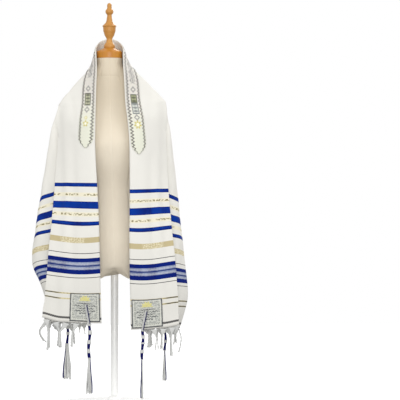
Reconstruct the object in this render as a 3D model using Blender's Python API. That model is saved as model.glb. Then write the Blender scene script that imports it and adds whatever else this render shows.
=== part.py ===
"""Tallit prayer shawl draped over a limbless dress form on a round stand.

Metres, +Z up, the fronts face -Y.  The origin is the centre of the stand's underside.
The shawl is one rectangle of cloth.  Cloth places are (along, across): along runs from the
end hem of the -X front, up over the neck, to the end hem of the +X front, and across runs
from the neck edge to the long hem.
"""
import math

import bmesh
import bpy
from mathutils import Vector

# ---- the cloth as it is cut ----
CLOTH_LENGTH = 1.83
CLOTH_WIDTH = 0.53
CLOTH_WALL = 0.0016
SEAM_GAP = 0.0003
WELD = 0.00005
HALF_LENGTH = CLOTH_LENGTH / 2

# ---- where it bends over the shoulders ----
SHOULDER_ACROSS = 0.14      # neck edge to the shoulder tip, across the cloth
DRAPE_WIDTH = 0.335         # shoulder tip to the long hem, as the side folds take it up
BACK_FOLD_ANGLE = math.radians(70)  # round the tip, from the front fold to the back panel
BACK_FOLD_SINE = math.sin(BACK_FOLD_ANGLE)
BACK_FOLD_SLOPE = 1 / math.tan(BACK_FOLD_ANGLE)
CORNER_LIFT = 0.85          # the low side corners hang higher by this share of their fall
BACK_LIFT = 0.20            # and the ends of the hem across the back by this share
ARCH_ACROSS = 0.06          # the neck edge arches over the neck; past this the cloth slopes with it
NECK_CENTRE_X = -0.0158
FOLD_START = 0.025          # the side folds open between these distances from the tip
FOLD_FULL = 0.15
PANEL_BEND = 1.8            # the front panels bend back as this power of the way out from the edge
SHOULDER_BEND = 1.15        # and dip in by this power where they lie straight to the shoulder
STRAIGHT_BELOW = 0.06       # they turn straight from this far below the shoulder tip
STRAIGHT_ABOVE = 0.02

# One table a side, all heights in metres from the floor.
# edge: (height, out, front)  neck edge of the front panel
# ridge: (height, out, back)  top of the shoulder, neck to tip
# swell: degrees the cloth bellies out just below the shoulder tip
# folds: (share, then out_lean and back_lean at each of the reaches) for one fold line each,
#        hanging from the shoulder tip; share 0 is the front fold and 1 the back fold or
#        the long hem, and the leans are degrees from straight down
SIDES = {
    "left": {
        "sign": -1,
        "hem_height": 0.256,
        "tip": (0.1727, 0.0, 0.925),
        "edge": [
            (0.240, 0.039, 0.124),
            (0.460, 0.0446, 0.121),
            (0.583, 0.048, 0.119),
            (0.682, 0.0533, 0.118),
            (0.790, 0.0589, 0.113),
            (0.870, 0.0585, 0.106),
            (0.970, 0.0570, 0.083),
            (1.040, 0.0550, 0.060),
            (1.094, 0.0580, 0.027),
        ],
        "ridge": [
            (1.094, 0.0580, -0.027),
            (1.045, 0.0720, -0.012),
            (1.026, 0.0850, -0.006),
            (0.990, 0.1190, 0.0),
            (0.951, 0.1530, 0.0),
            (0.925, 0.1727, 0.0),
        ],
        "swell": 13.0,
        "reaches": (0.15, 0.30, 0.47, 0.545, 0.61),
        "folds": [
            (0.00, 1.6, -10.0, 2.6, -10.0, 3.7, -10.0, 3.8, -10.0, 3.9, -10.0),
            (0.20, -6.0, -6.5, -6.5, -6.5, -6.5, -7.0, -6.2, -7.1, -6.0, -7.2),
            (0.42, 6.0, -4.0, 5.0, -4.0, 4.8, -5.0, 3.6, -5.4, 2.9, -5.6),
            (0.48, 12.0, -1.5, 10.4, -1.5, 9.2, -2.5, 5.6, -3.4, 3.6, -4.0),
            (0.54, 13.2, 3.5, 11.5, 3.5, 9.9, 1.1, 6.0, -0.6, 3.5, -2.0),
            (0.61, 10.5, 8.5, 8.6, 8.5, 6.7, 5.2, 3.2, 2.2, 0.8, 0.0),
            (0.71, -3.0, 5.0, -4.0, 5.0, -4.0, 5.0, -5.6, 3.0, -7.0, 1.2),
            (1.00, 3.5, 11.5, 4.4, 11.5, 4.1, 9.2, 3.2, 6.0, 2.4, 3.0),
        ],
    },
    "right": {
        "sign": 1,
        "hem_height": 0.237,
        "tip": (0.1584, 0.0, 0.934),
        "edge": [
            (0.225, 0.050, 0.122),
            (0.474, 0.0453, 0.119),
            (0.660, 0.0462, 0.118),
            (0.800, 0.0453, 0.113),
            (0.862, 0.0409, 0.107),
            (0.924, 0.0338, 0.097),
            (1.000, 0.0300, 0.078),
            (1.050, 0.0270, 0.056),
            (1.094, 0.0265, 0.027),
        ],
        "ridge": [
            (1.094, 0.0265, -0.027),
            (1.045, 0.0480, -0.012),
            (1.026, 0.0670, -0.006),
            (0.990, 0.1040, 0.0),
            (0.951, 0.1410, 0.0),
            (0.934, 0.1584, 0.0),
        ],
        "swell": 7.0,
        "reaches": (0.14, 0.30, 0.48, 0.61, 0.69, 0.77),
        "folds": [
            (0.00, 0.6, -9.5, 1.6, -9.5, 2.9, -9.5, 3.2, -9.5, 3.1, -9.5, 3.1, -9.5),
            (0.20, -6.5, -6.0, -6.5, -6.0, -6.2, -6.5, -6.0, -7.0, -6.0, -7.0, -6.0, -7.0),
            (0.42, 4.5, -3.5, 4.0, -3.5, 3.6, -4.4, 3.0, -5.2, 2.3, -5.6, 1.8, -5.6),
            (0.48, 7.2, 0.0, 6.8, 0.0, 6.2, -1.5, 5.6, -3.0, 3.6, -4.0, 2.3, -4.0),
            (0.54, 8.0, 5.0, 7.2, 5.0, 6.8, 2.2, 6.4, -0.6, 4.2, -1.6, 2.0, -1.8),
            (0.60, 6.6, 9.0, 6.0, 9.0, 4.6, 5.2, 4.2, 1.4, 2.2, 0.4, 0.5, 0.2),
            (0.70, -2.0, 5.5, -3.2, 5.2, -3.0, 5.2, -3.6, 4.0, -4.8, 2.8, -5.2, 2.0),
            (1.00, 2.5, 11.5, 4.8, 11.5, 5.9, 7.0, 6.6, 4.0, 6.1, 3.2, 3.4, 2.6),
        ],
    },
}

# Middle of the back: (across, back, height)
BACK_MIDDLE = [
    (0.00, 0.056, 1.131),
    (0.03, 0.063, 1.102),
    (0.10, 0.080, 1.034),
    (0.20, 0.096, 0.936),
    (0.30, 0.101, 0.838),
    (0.53, 0.104, 0.620),
]

# ---- what is sewn on ----
BAND_WIDTH = 0.054
BAND_LENGTH = 0.766
BAND_POINT = 0.030          # depth of the pointed ends
BAND_BLUNT = 1.6            # how full the points are
BAND_TIP = 0.12             # width at the very end, over the band's
BAND_INSET = 0.003
BAND_DRIFT = 0.004          # the ends lie this much further in from the neck edge
DRIFT_NONE = 0.14           # and from this far in from an end it follows the edge
TRIM_WALL = 0.0012
TRIM_LIFT = 0.0005          # keeps flat trim clear of the cloth's bends
SIDE_LIFT = 0.0008          # more of it for the patches in the side folds
PATCH_ACROSS = 0.094
PATCH_ALONG = 0.088
PATCH_INSET = 0.004
PATCH_LINES = 26            # its mesh lines are the cloth's width over this apart
HEM_STEPS = 240
EYELET_ALONG = 0.055
EYELET_ACROSS = 0.048
EYELET_RADIUS = 0.0042

# ---- fringe and corner tassels ----
FRINGE_STRANDS = 23
FRINGE_STRIP = 0.004
FRINGE_END = 0.002
FRINGE_LENGTH = 0.078
STRIP_OVERLAP = 0.0003      # the strip is thicker than the cloth by this on each side
STRAND_WIDTH = 0.0042
STRAND_SHARES = (0.12, 0.5, 0.85, 1.0)
STRAND_REACHES = (0.0021, 0.0021, 0.0026, 0.0010)
STRAND_SWAY = 0.005
TASSEL_SIDES = 8            # its head's sides, and its loose strands
TASSEL_KNOTS = 5
TASSEL_RADIUS = 0.0052
KNOT_SWELL = 1.12           # radii of the knots and of the windings between, over the head's
WINDING_SWELL = 0.86
TASSEL_NECK = 0.0040        # radius where the loop leaves the head
TASSEL_CROWN = 0.0065       # the head starts this far below the hem
TASSEL_SKIRT = 0.005
TASSEL_ROOM = 0.016
# head: length; hang: length of its loose strands; flare: how far they spread, over the head's
# radius; slide: how far along the hem the head hangs from below its eyelet
TASSELS = {
    "front_left": {"head": 0.104, "hang": 0.105, "flare": 1.6, "slide": -0.008},
    "front_right": {"head": 0.090, "hang": 0.112, "flare": 0.8, "slide": -0.012},
    "side_left": {"head": 0.048, "hang": 0.106, "flare": 2.4, "slide": -0.006},
    "side_right": {"head": 0.054, "hang": 0.094, "flare": 0.8, "slide": 0.004},
}
TAIL_SHARES = (0.08, 0.4, 0.75, 1.0)
TAIL_REACHES = (0.0014, 0.0013, 0.0013, 0.0006)
LOOP_RADIUS = 0.0021
LOOP_SEAT = 0.0017          # the loop rests this far below the middle of its eyelet

# ---- dress form: (height, half_width, front, back) ----
FORM_SECTIONS = [
    (1.068, 0.0400, 0.0400, 0.0420),
    (1.045, 0.0410, 0.0410, 0.0430),
    (1.022, 0.0590, 0.0420, 0.0500),
    (0.990, 0.0920, 0.0440, 0.0600),
    (0.952, 0.1270, 0.0460, 0.0680),
    (0.932, 0.1440, 0.0490, 0.0710),
    (0.912, 0.1510, 0.0550, 0.0740),
    (0.880, 0.1490, 0.0690, 0.0780),
    (0.840, 0.1440, 0.0890, 0.0800),
    (0.800, 0.1350, 0.1000, 0.0790),
    (0.750, 0.1180, 0.0920, 0.0740),
    (0.700, 0.0960, 0.0760, 0.0660),
    (0.665, 0.0870, 0.0700, 0.0640),
    (0.620, 0.0930, 0.0740, 0.0730),
    (0.560, 0.1070, 0.0820, 0.0880),
    (0.505, 0.1150, 0.0860, 0.0960),
    (0.460, 0.1130, 0.0840, 0.0930),
    (0.425, 0.1050, 0.0780, 0.0840),
    (0.402, 0.0900, 0.0660, 0.0700),
    (0.388, 0.0660, 0.0480, 0.0500),
    (0.384, 0.0360, 0.0260, 0.0270),
]
FORM_SIDES = 28
TAPER = 0.35                # how much the shoulder sections narrow to their ends
TAPER_HEIGHTS = (0.86, 0.93, 1.00, 1.04)
FORM_STRAIGHT_BELOW = 0.45  # the axis leans from here up to the neck
NECK_TOP = 1.068
ARCH_RISE = 0.026
ARCH_HALF_WIDTH = 0.042
ARCH_TOP = 0.43

# ---- cap, finial and stand ----
CAP_PROFILE = [
    (0.0403, 0.0), (0.0403, 0.0185), (0.0385, 0.0210), (0.0276, 0.0260), (0.0172, 0.0315),
]
FINIAL_PROFILE = [
    (0.0160, 0.0000), (0.0172, 0.0050), (0.0158, 0.0097), (0.0125, 0.0144), (0.0099, 0.0190),
    (0.0088, 0.0240), (0.0090, 0.0283), (0.0104, 0.0312), (0.0148, 0.0392), (0.0167, 0.0454),
    (0.0189, 0.0525), (0.0195, 0.0624), (0.0201, 0.0655), (0.0222, 0.0677), (0.0194, 0.0705),
    (0.0127, 0.0770), (0.0093, 0.0841), (0.0084, 0.0903), (0.0070, 0.1008), (0.0084, 0.1040),
    (0.0112, 0.1074), (0.0124, 0.1120), (0.0112, 0.1172), (0.0080, 0.1209), (0.0070, 0.1244),
    (0.0071, 0.1322), (0.0058, 0.1362), (0.0022, 0.1392),
]
POLE_RADIUS = 0.0115
POLE_SOCKET = 0.035
BASE_RADIUS = 0.165
BASE_HEIGHT = 0.007
BASE_BEVEL = 0.002
COLLAR_RADIUS = 0.0218
COLLAR_HEIGHT = 0.012
COLLAR_TOP = 0.017
ROUND_SIDES = 32


def smooth_step(value, low, high):
    """0 below low, 1 above high, soft between."""
    share = min(max((value - low) / (high - low), 0.0), 1.0)
    return share * share * (3 - 2 * share)


def read_table(rows, key):
    """The row at key, on a smooth curve through the table's rows, sorted by their first column."""
    if rows[0][0] > rows[-1][0]:
        rows = rows[::-1]
    key = min(max(key, rows[0][0]), rows[-1][0])
    index = 0
    while index < len(rows) - 2 and key > rows[index + 1][0]:
        index += 1
    low, high = rows[index], rows[index + 1]
    before = rows[max(index - 1, 0)]
    after = rows[min(index + 2, len(rows) - 1)]
    span = high[0] - low[0]
    t = (key - low[0]) / span
    values = []
    for column in range(1, len(low)):
        slope_low = (high[column] - before[column]) / (high[0] - before[0]) * span
        slope_high = (after[column] - low[column]) / (after[0] - low[0]) * span
        values.append(
            low[column] * (2 * t**3 - 3 * t**2 + 1) + slope_low * (t**3 - 2 * t**2 + t)
            + high[column] * (3 * t**2 - 2 * t**3) + slope_high * (t**3 - t**2)
        )
    return values


# ---- the drape ----
def side_share(across):
    """How far past the shoulder tip a line of the cloth lies, as the folds take it up."""
    return (across - SHOULDER_ACROSS) * DRAPE_WIDTH / (CLOTH_WIDTH - SHOULDER_ACROSS)


def tip_along(side):
    """Distance along the cloth from the end hem to the shoulder tip."""
    return side["tip"][2] - side["hem_height"]


def neck_along(side):
    """Distance along the cloth from the end hem to the side of the neck."""
    return side["ridge"][0][0] - side["hem_height"]


def hang_from_tip(side, over, down):
    """A point of the side folds, over and down from the shoulder tip along the cloth."""
    reach = math.hypot(over, down)
    room = min(reach * BACK_FOLD_SINE, DRAPE_WIDTH)
    share = min(over / room, 1.0) if room > 1e-6 else 0.0
    leans = read_table(side["folds"], share)
    levels = [(reached, *leans[2 * index:2 * index + 2]) for index, reached in enumerate(side["reaches"])]
    out_lean, back_lean = read_table(levels, reach)
    first, last = side["folds"][0], side["folds"][-1]
    plain_out = first[1] + (last[1] - first[1]) * share + side["swell"] * math.sin(math.pi * share)
    plain_back = first[2] + (last[2] - first[2]) * share
    open_share = smooth_step(reach, FOLD_START, FOLD_FULL)
    out_lean = plain_out + (out_lean - plain_out) * open_share
    back_lean = plain_back + (back_lean - plain_back) * open_share
    lift = BACK_LIFT + (CORNER_LIFT - BACK_LIFT) * smooth_step(down, 0.40, 0.66)
    drop = down + (reach - down) * (1 - lift)
    out, back, height = side["tip"]
    return Vector((
        out + drop * math.tan(math.radians(out_lean)),
        back + drop * math.tan(math.radians(back_lean)),
        height - drop,
    ))


def ridge_point(side, share):
    """A point of the shoulder ridge: share 0 at the neck, 1 at the tip."""
    top, low = side["ridge"][0][0], side["ridge"][-1][0]
    height = top + (low - top) * share
    out, back = read_table(side["ridge"], height)
    return Vector((out, back, height))


def front_point(side, along, across, border):
    """A point of the front panel, from its neck edge to the ridge or the front fold."""
    tip, neck = tip_along(side), neck_along(side)
    height = side["hem_height"] + along
    out, front = read_table(side["edge"], height)
    edge = Vector((out, -front, height))
    if along < tip:
        outer = hang_from_tip(side, 0.0, tip - along)
    else:
        outer = ridge_point(side, (neck - along) / (neck - tip))
    share = across / border if border > 1e-6 else 0.0
    straight = smooth_step(along, tip - STRAIGHT_BELOW, tip + STRAIGHT_ABOVE)
    share_x = share + (share**SHOULDER_BEND - share) * straight
    share_y = share**PANEL_BEND + (share - share**PANEL_BEND) * straight
    return Vector((
        edge.x + (outer.x - edge.x) * share_x,
        edge.y + (outer.y - edge.y) * share_y,
        edge.z + (outer.z - edge.z) * share,
    ))


def back_point(side, along, across, border):
    """A point of the back panel, from the ridge or the back fold to the middle of the back."""
    if across <= SHOULDER_ACROSS:
        outer = ridge_point(side, across / SHOULDER_ACROSS)
    else:
        over = side_share(across)
        outer = hang_from_tip(side, over, over * BACK_FOLD_SLOPE)
    back, height = read_table(BACK_MIDDLE, across)
    middle = Vector((NECK_CENTRE_X * side["sign"], back, height))
    share = (along - border) / (HALF_LENGTH - border)
    turn = share * math.pi / 2
    rounded = 1 - smooth_step(across, SHOULDER_ACROSS * 0.7, SHOULDER_ACROSS + 0.10)
    flat_x, flat_y = share, 1 - (1 - share) ** 2
    round_x, round_y = 1 - math.cos(turn), math.sin(turn)
    share_x = flat_x + (round_x - flat_x) * rounded
    share_y = flat_y + (round_y - flat_y) * rounded
    sloped = rounded * smooth_step(across, 0.0, ARCH_ACROSS)
    share_z = math.sin(turn) + (smooth_step(share, 0.0, 1.0) - math.sin(turn)) * sloped
    return Vector((
        outer.x + (middle.x - outer.x) * share_x,
        outer.y + (middle.y - outer.y) * share_y,
        outer.z + (middle.z - outer.z) * share_z,
    ))


def drape(along, across):
    """The place in space of a point of the cloth."""
    side = SIDES["left"] if along <= HALF_LENGTH else SIDES["right"]
    if along > HALF_LENGTH:
        along = CLOTH_LENGTH - along
    tip, neck = tip_along(side), neck_along(side)
    over = side_share(across)
    if across <= SHOULDER_ACROSS:
        back_border = neck - (neck - tip) * across / SHOULDER_ACROSS
    else:
        back_border = tip - over * BACK_FOLD_SLOPE
    if along >= back_border:
        point = back_point(side, along, across, back_border)
    elif across <= SHOULDER_ACROSS:
        front_border = SHOULDER_ACROSS * min(1.0, (neck - along) / (neck - tip))
        point = front_point(side, along, across, front_border)
    else:
        point = hang_from_tip(side, over, tip - along)
    return Vector((point.x * side["sign"], point.y, point.z))


def outward(along, across):
    """The unit vector out of the cloth's right side."""
    step = 0.002
    low, high = max(along - step, 0.0), min(along + step, CLOTH_LENGTH)
    near, far = max(across - step, 0.0), min(across + step, CLOTH_WIDTH)
    run = drape(high, across) - drape(low, across)
    rise = drape(along, far) - drape(along, near)
    return run.cross(rise).normalized()


# ---- shared makers ----
def clear_scene():
    for item in list(bpy.data.objects):
        bpy.data.objects.remove(item, do_unlink=True)


def make_material(name, colour, roughness):
    material = bpy.data.materials.new(name)
    material.use_nodes = True
    shader = material.node_tree.nodes["Principled BSDF"]
    shader.inputs["Base Color"].default_value = (*colour, 1)
    shader.inputs["Roughness"].default_value = roughness
    return material


def make_object(name, shape, material, sharp_angle=40):
    """One named object from a bmesh, smooth but for edges sharper than the angle."""
    mesh = bpy.data.meshes.new(name)
    shape.to_mesh(mesh)
    shape.free()
    mesh.shade_smooth()
    mesh.set_sharp_from_angle(angle=math.radians(sharp_angle))
    mesh.materials.append(material)
    item = bpy.data.objects.new(name, mesh)
    bpy.context.scene.collection.objects.link(item)
    return item


def give_wall(item, thickness):
    """Cloth thickness, half to each side of the mesh."""
    solidify = item.modifiers.new("wall", "SOLIDIFY")
    solidify.thickness = thickness
    solidify.offset = 0
    solidify.use_even_offset = False
    solidify.use_quality_normals = True


def cut_away(item, cutter):
    cutter.hide_render = True
    cutter.display_type = "WIRE"
    cut = item.modifiers.new("cut", "BOOLEAN")
    cut.operation = "DIFFERENCE"
    cut.solver = "EXACT"
    cut.object = cutter


def cloth_panel(name, columns, rows, place, material, wall):
    """A walled grid of cloth on lines along and across it."""
    shape = bmesh.new()
    add_grid(shape, columns, rows, place)
    bmesh.ops.triangulate(shape, faces=shape.faces, quad_method="FIXED")
    item = make_object(name, shape, material)
    give_wall(item, wall)
    return item


def turned(name, profile, centre, material, sides=ROUND_SIDES):
    """A round piece from (radius, height) rows, bottom to top, closed at both ends."""
    shape = bmesh.new()
    for radius, height in profile:
        bmesh.ops.create_circle(shape, cap_ends=False, segments=sides, radius=radius)
        shape.verts.ensure_lookup_table()
        for vertex in shape.verts[-sides:]:
            vertex.co += Vector((centre[0], centre[1], centre[2] + height))
    join_rings(shape, sides)
    return make_object(name, shape, material)


def join_rings(shape, sides):
    """Walls between rings of the same number of points, and a cap on the first and last."""
    shape.verts.ensure_lookup_table()
    rings = [shape.verts[start:start + sides] for start in range(0, len(shape.verts), sides)]
    for low, high in zip(rings, rings[1:]):
        for index in range(sides):
            after = (index + 1) % sides
            shape.faces.new((low[index], low[after], high[after], high[index]))
    for ring in (rings[0], rings[-1]):
        shape.faces.new(ring)
    bmesh.ops.triangulate(shape, faces=[face for face in shape.faces if len(face.verts) > 4])
    bmesh.ops.recalc_face_normals(shape, faces=shape.faces)


# ---- shawl and trim ----
HANG_ROWS = 24              # rows of cells from the shoulder tip down to the end hem
BACK_ROWS = 12              # how many of them meet the back panel, which has as many
TOP_ROWS = 12               # rows from the shoulder tip over to the middle of the back
PANEL_COLUMNS = 3           # cells from the neckband to the shoulder tip
FOLD_CELLS = 3              # cells from one fold line to the next


def spread(low, high, cells):
    """Even lines from low to high."""
    return [low + (high - low) * number / cells for number in range(cells + 1)]


def half_lines(side):
    """Lines along the cloth from the end hem to the middle of the back."""
    tip = tip_along(side)
    return spread(0.0, tip, HANG_ROWS) + spread(tip, HALF_LENGTH, TOP_ROWS)[1:]


ALONG_LINES = half_lines(SIDES["left"]) + [CLOTH_LENGTH - line for line in half_lines(SIDES["right"])[-2::-1]]
BAND_EDGE = BAND_INSET + BAND_WIDTH
INNER_LINES = [0.0] + spread(BAND_INSET, BAND_EDGE, 2) + spread(BAND_EDGE, SHOULDER_ACROSS, PANEL_COLUMNS)[1:]
BACK_LINES = spread(SHOULDER_ACROSS, CLOTH_WIDTH, BACK_ROWS)


def drifted(along, line):
    """Where a mesh line between the neck edge and the shoulder lies, as it keeps to the neckband."""
    from_end = BAND_LENGTH / 2 - abs(along - HALF_LENGTH)
    drift = BAND_DRIFT * (1 - smooth_step(from_end, 0.0, DRIFT_NONE))
    if line < BAND_INSET:
        return line * (1 + drift / BAND_INSET)
    if line <= BAND_EDGE:
        return line + drift
    return line + drift * (SHOULDER_ACROSS - line) / (SHOULDER_ACROSS - BAND_EDGE)


def mesh_point(column, row):
    """A corner of the front and shoulder mesh."""
    return drape(ALONG_LINES[column], drifted(ALONG_LINES[column], INNER_LINES[row]))


def fold_shares(side):
    """Mesh lines through the side folds: one on each fold line, the rest between them."""
    folds = [row[0] for row in side["folds"]]
    shares = [folds[0]]
    for low, high in zip(folds, folds[1:]):
        shares += spread(low, high, FOLD_CELLS)[1:]
    return shares


def side_fold_place(side, row, share):
    """Cloth place (along, across) of a mesh point of the side folds.

    Row 0 is the shoulder tip and the last row is the end hem.  A row starts on the front
    fold and ends on the back fold, or below that on the long hem.
    """
    tip = tip_along(side)
    start = tip * row / HANG_ROWS
    back_reach = DRAPE_WIDTH / BACK_FOLD_SINE
    if row <= BACK_ROWS:
        end = back_reach * row / BACK_ROWS
    else:
        low = back_reach * math.cos(BACK_FOLD_ANGLE)
        end_down = low + (tip - low) * (row - BACK_ROWS) / (HANG_ROWS - BACK_ROWS)
        end = math.hypot(DRAPE_WIDTH, end_down)
    reach = start + (end - start) * share**2
    if row == HANG_ROWS:
        reach = math.hypot(tip, DRAPE_WIDTH * share)
    over = min(reach * BACK_FOLD_SINE, DRAPE_WIDTH) * share
    down = math.sqrt(max(reach**2 - over**2, 0.0))
    return tip - down, SHOULDER_ACROSS + over * (CLOTH_WIDTH - SHOULDER_ACROSS) / DRAPE_WIDTH


def back_place(column, across):
    """Cloth place of a mesh point of the lower back, by its line on the shoulders."""
    for name, side in SIDES.items():
        along = column if name == "left" else CLOTH_LENGTH - column
        if along <= HALF_LENGTH:
            tip = tip_along(side)
            border = tip - side_share(across) * BACK_FOLD_SLOPE
            along = border + (along - tip) * (HALF_LENGTH - border) / (HALF_LENGTH - tip)
            return (along if name == "left" else CLOTH_LENGTH - along), across
    return column, across


def add_grid(shape, columns, rows, place):
    """A grid on the given lines in a bmesh; place turns a pair of lines into a point."""
    made = bmesh.ops.create_grid(shape, x_segments=len(columns) - 1, y_segments=len(rows) - 1, size=0.5)
    for vertex in made["verts"]:
        column = round((vertex.co.x + 0.5) * (len(columns) - 1))
        row = round((vertex.co.y + 0.5) * (len(rows) - 1))
        vertex.co = place(columns[column], rows[row])


def build_shawl(material):
    """One sheet from four grids that share their borders: front and shoulders, back, two sides."""
    shape = bmesh.new()
    add_grid(shape, ALONG_LINES, INNER_LINES, lambda along, line: drape(along, drifted(along, line)))
    tips = [line for line in ALONG_LINES if tip_along(SIDES["left"]) - 1e-9 <= line]
    tips = [line for line in tips if line <= CLOTH_LENGTH - tip_along(SIDES["right"]) + 1e-9]
    add_grid(shape, tips, BACK_LINES, lambda column, across: drape(*back_place(column, across)))
    for name, side in SIDES.items():
        def side_point(row, share, name=name, side=side):
            along, across = side_fold_place(side, row, share)
            return drape(along if name == "left" else CLOTH_LENGTH - along, across)

        rows = list(range(HANG_ROWS, -1, -1)) if name == "left" else list(range(HANG_ROWS + 1))
        add_grid(shape, rows, fold_shares(side), side_point)
    bmesh.ops.triangulate(shape, faces=shape.faces, quad_method="FIXED")
    bmesh.ops.remove_doubles(shape, verts=shape.verts, dist=WELD)
    item = make_object("shawl", shape, material)
    give_wall(item, CLOTH_WALL)
    return item


def lines_between(lines, low, high, clear=0.004):
    """The mesh lines inside a piece that lies on the cloth, with the piece's own two edges."""
    return [low] + [line for line in lines if low + clear < line < high - clear] + [high]


def cell_of(lines, value):
    """The cell that holds a value, and the share of the way through it."""
    index = 0
    while index < len(lines) - 2 and value > lines[index + 1]:
        index += 1
    return index, (value - lines[index]) / (lines[index + 1] - lines[index])


def mesh_way_out(column, row):
    """The way out of the cloth at a point of its front and shoulder mesh, from the points round it."""
    low, high = max(column - 1, 0), min(column + 1, len(ALONG_LINES) - 1)
    near, far = max(row - 1, 0), min(row + 1, len(INNER_LINES) - 1)
    run = mesh_point(high, row) - mesh_point(low, row)
    rise = mesh_point(column, far) - mesh_point(column, near)
    return run.cross(rise).normalized()


def on_mesh(along, across):
    """A point on the flat cells of the shawl's mesh, and the way out of its right side."""
    if across > SHOULDER_ACROSS:
        return drape(along, across), outward(along, across)
    column, over = cell_of(ALONG_LINES, along)
    row, up = cell_of([drifted(along, line) for line in INNER_LINES], across)
    point = Vector()
    normal = Vector()
    for column_step, weight_along in ((0, 1 - over), (1, over)):
        for row_step, weight_across in ((0, 1 - up), (1, up)):
            corner = (column + column_step, row + row_step)
            weight = weight_along * weight_across
            point += mesh_point(*corner) * weight
            normal += mesh_way_out(*corner) * weight
    return point, normal.normalized()


def lifted(along, across, wall):
    """A point on the cloth's right side, clear by the seam gap, for a piece of that wall."""
    point, normal = on_mesh(along, across)
    lift = TRIM_LIFT + (SIDE_LIFT if across > SHOULDER_ACROSS else 0.0)
    return point + normal * (CLOTH_WALL / 2 + lift + wall / 2)


def build_band(material):
    """The neckband: pointed at both ends, along the neck edge."""
    start = HALF_LENGTH - BAND_LENGTH / 2
    end = start + BAND_LENGTH
    columns = lines_between(ALONG_LINES, start, end, 0.010)
    ends = [0.0, BAND_POINT / 3, BAND_POINT]
    columns = [line for line in columns if start + BAND_POINT < line < end - BAND_POINT]
    columns = sorted([start + run for run in ends] + columns + [end - run for run in ends])
    rows = spread(BAND_INSET, BAND_EDGE, 2)

    def place(along, across):
        from_end = max(min(along - start, end - along), 0.0)
        part = min(from_end / BAND_POINT, 1.0)
        full = BAND_TIP + (1 - BAND_TIP) * (1 - (1 - part) ** BAND_BLUNT)
        middle = BAND_INSET + BAND_WIDTH / 2
        return lifted(along, drifted(along, middle + (across - middle) * full), TRIM_WALL)

    return cloth_panel("neckband", columns, rows, place, material, TRIM_WALL)


# The corners: name, the end hem's place along, the way in along it, and the way in across
CORNERS = [
    ("front_left", 0.0, 1, 1),
    ("side_left", 0.0, 1, -1),
    ("front_right", CLOTH_LENGTH, -1, 1),
    ("side_right", CLOTH_LENGTH, -1, -1),
]


def hem_lengths(along):
    """Length along an end hem from the neck edge, at even steps across the cloth."""
    points = [drape(along, across) for across in spread(0.0, CLOTH_WIDTH, HEM_STEPS)]
    lengths = [0.0]
    for before, after in zip(points, points[1:]):
        lengths.append(lengths[-1] + (after - before).length)
    return lengths


def across_at(lengths, length):
    """The place across the cloth at a length along its end hem."""
    index, share = cell_of(lengths, length)
    return CLOTH_WIDTH * (index + share) / HEM_STEPS


def corner_across(along, across_way, inward):
    """The place across the cloth at a real distance in from a corner."""
    lengths = hem_lengths(along)
    return across_at(lengths, inward if across_way > 0 else lengths[-1] - inward)


def build_patch(name, along, across_way, along_way, material):
    along_ends = sorted((along + along_way * PATCH_INSET, along + along_way * (PATCH_INSET + PATCH_ALONG)))
    across_ends = sorted(
        corner_across(along, across_way, inward) for inward in (PATCH_INSET, PATCH_INSET + PATCH_ACROSS))
    columns = lines_between(ALONG_LINES, *along_ends)
    rows = lines_between(spread(0.0, CLOTH_WIDTH, PATCH_LINES), *across_ends)

    def place(line_along, line_across):
        return lifted(line_along, line_across, TRIM_WALL)

    return cloth_panel("patch_" + name, columns, rows, place, material, TRIM_WALL)


def build_eyelet_cutter(name, along, across):
    """A pin through cloth and patch, where the tassel's loop goes."""
    shape = bmesh.new()
    bmesh.ops.create_cone(
        shape, cap_ends=True, segments=12, radius1=EYELET_RADIUS, radius2=EYELET_RADIUS, depth=0.02)
    turn = outward(along, across).to_track_quat("Z", "Y").to_matrix()
    bmesh.ops.rotate(shape, verts=shape.verts, matrix=turn)
    bmesh.ops.translate(shape, verts=shape.verts, vec=drape(along, across))
    return make_object("cutter_" + name, shape, bpy.data.materials["cutter"])


def extrude_path(shape, face, centres, widths, last_way=None):
    """Draws a face out along centres, resized to each width, and turns the last one last_way."""
    for centre, width in zip(centres, widths):
        result = bmesh.ops.extrude_discrete_faces(shape, faces=[face])
        face = result["faces"][0]
        middle = face.calc_center_median()
        reach = max((vertex.co - middle).length for vertex in face.verts)
        for vertex in face.verts:
            vertex.co = centre + (vertex.co - middle) * (width / reach)
    if last_way:
        face.normal_update()
        turn = face.normal.rotation_difference(last_way)
        for vertex in face.verts:
            vertex.co = centre + turn @ (vertex.co - centre)
    return face


def clear_of_tassels(length, hem_length, side_name):
    """A fringe strand is left out where a corner tassel hangs."""
    front = EYELET_ACROSS + TASSELS["front_" + side_name]["slide"]
    side = hem_length - EYELET_ACROSS + TASSELS["side_" + side_name]["slide"]
    return min(abs(length - front), abs(length - side)) > TASSEL_ROOM


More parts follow.
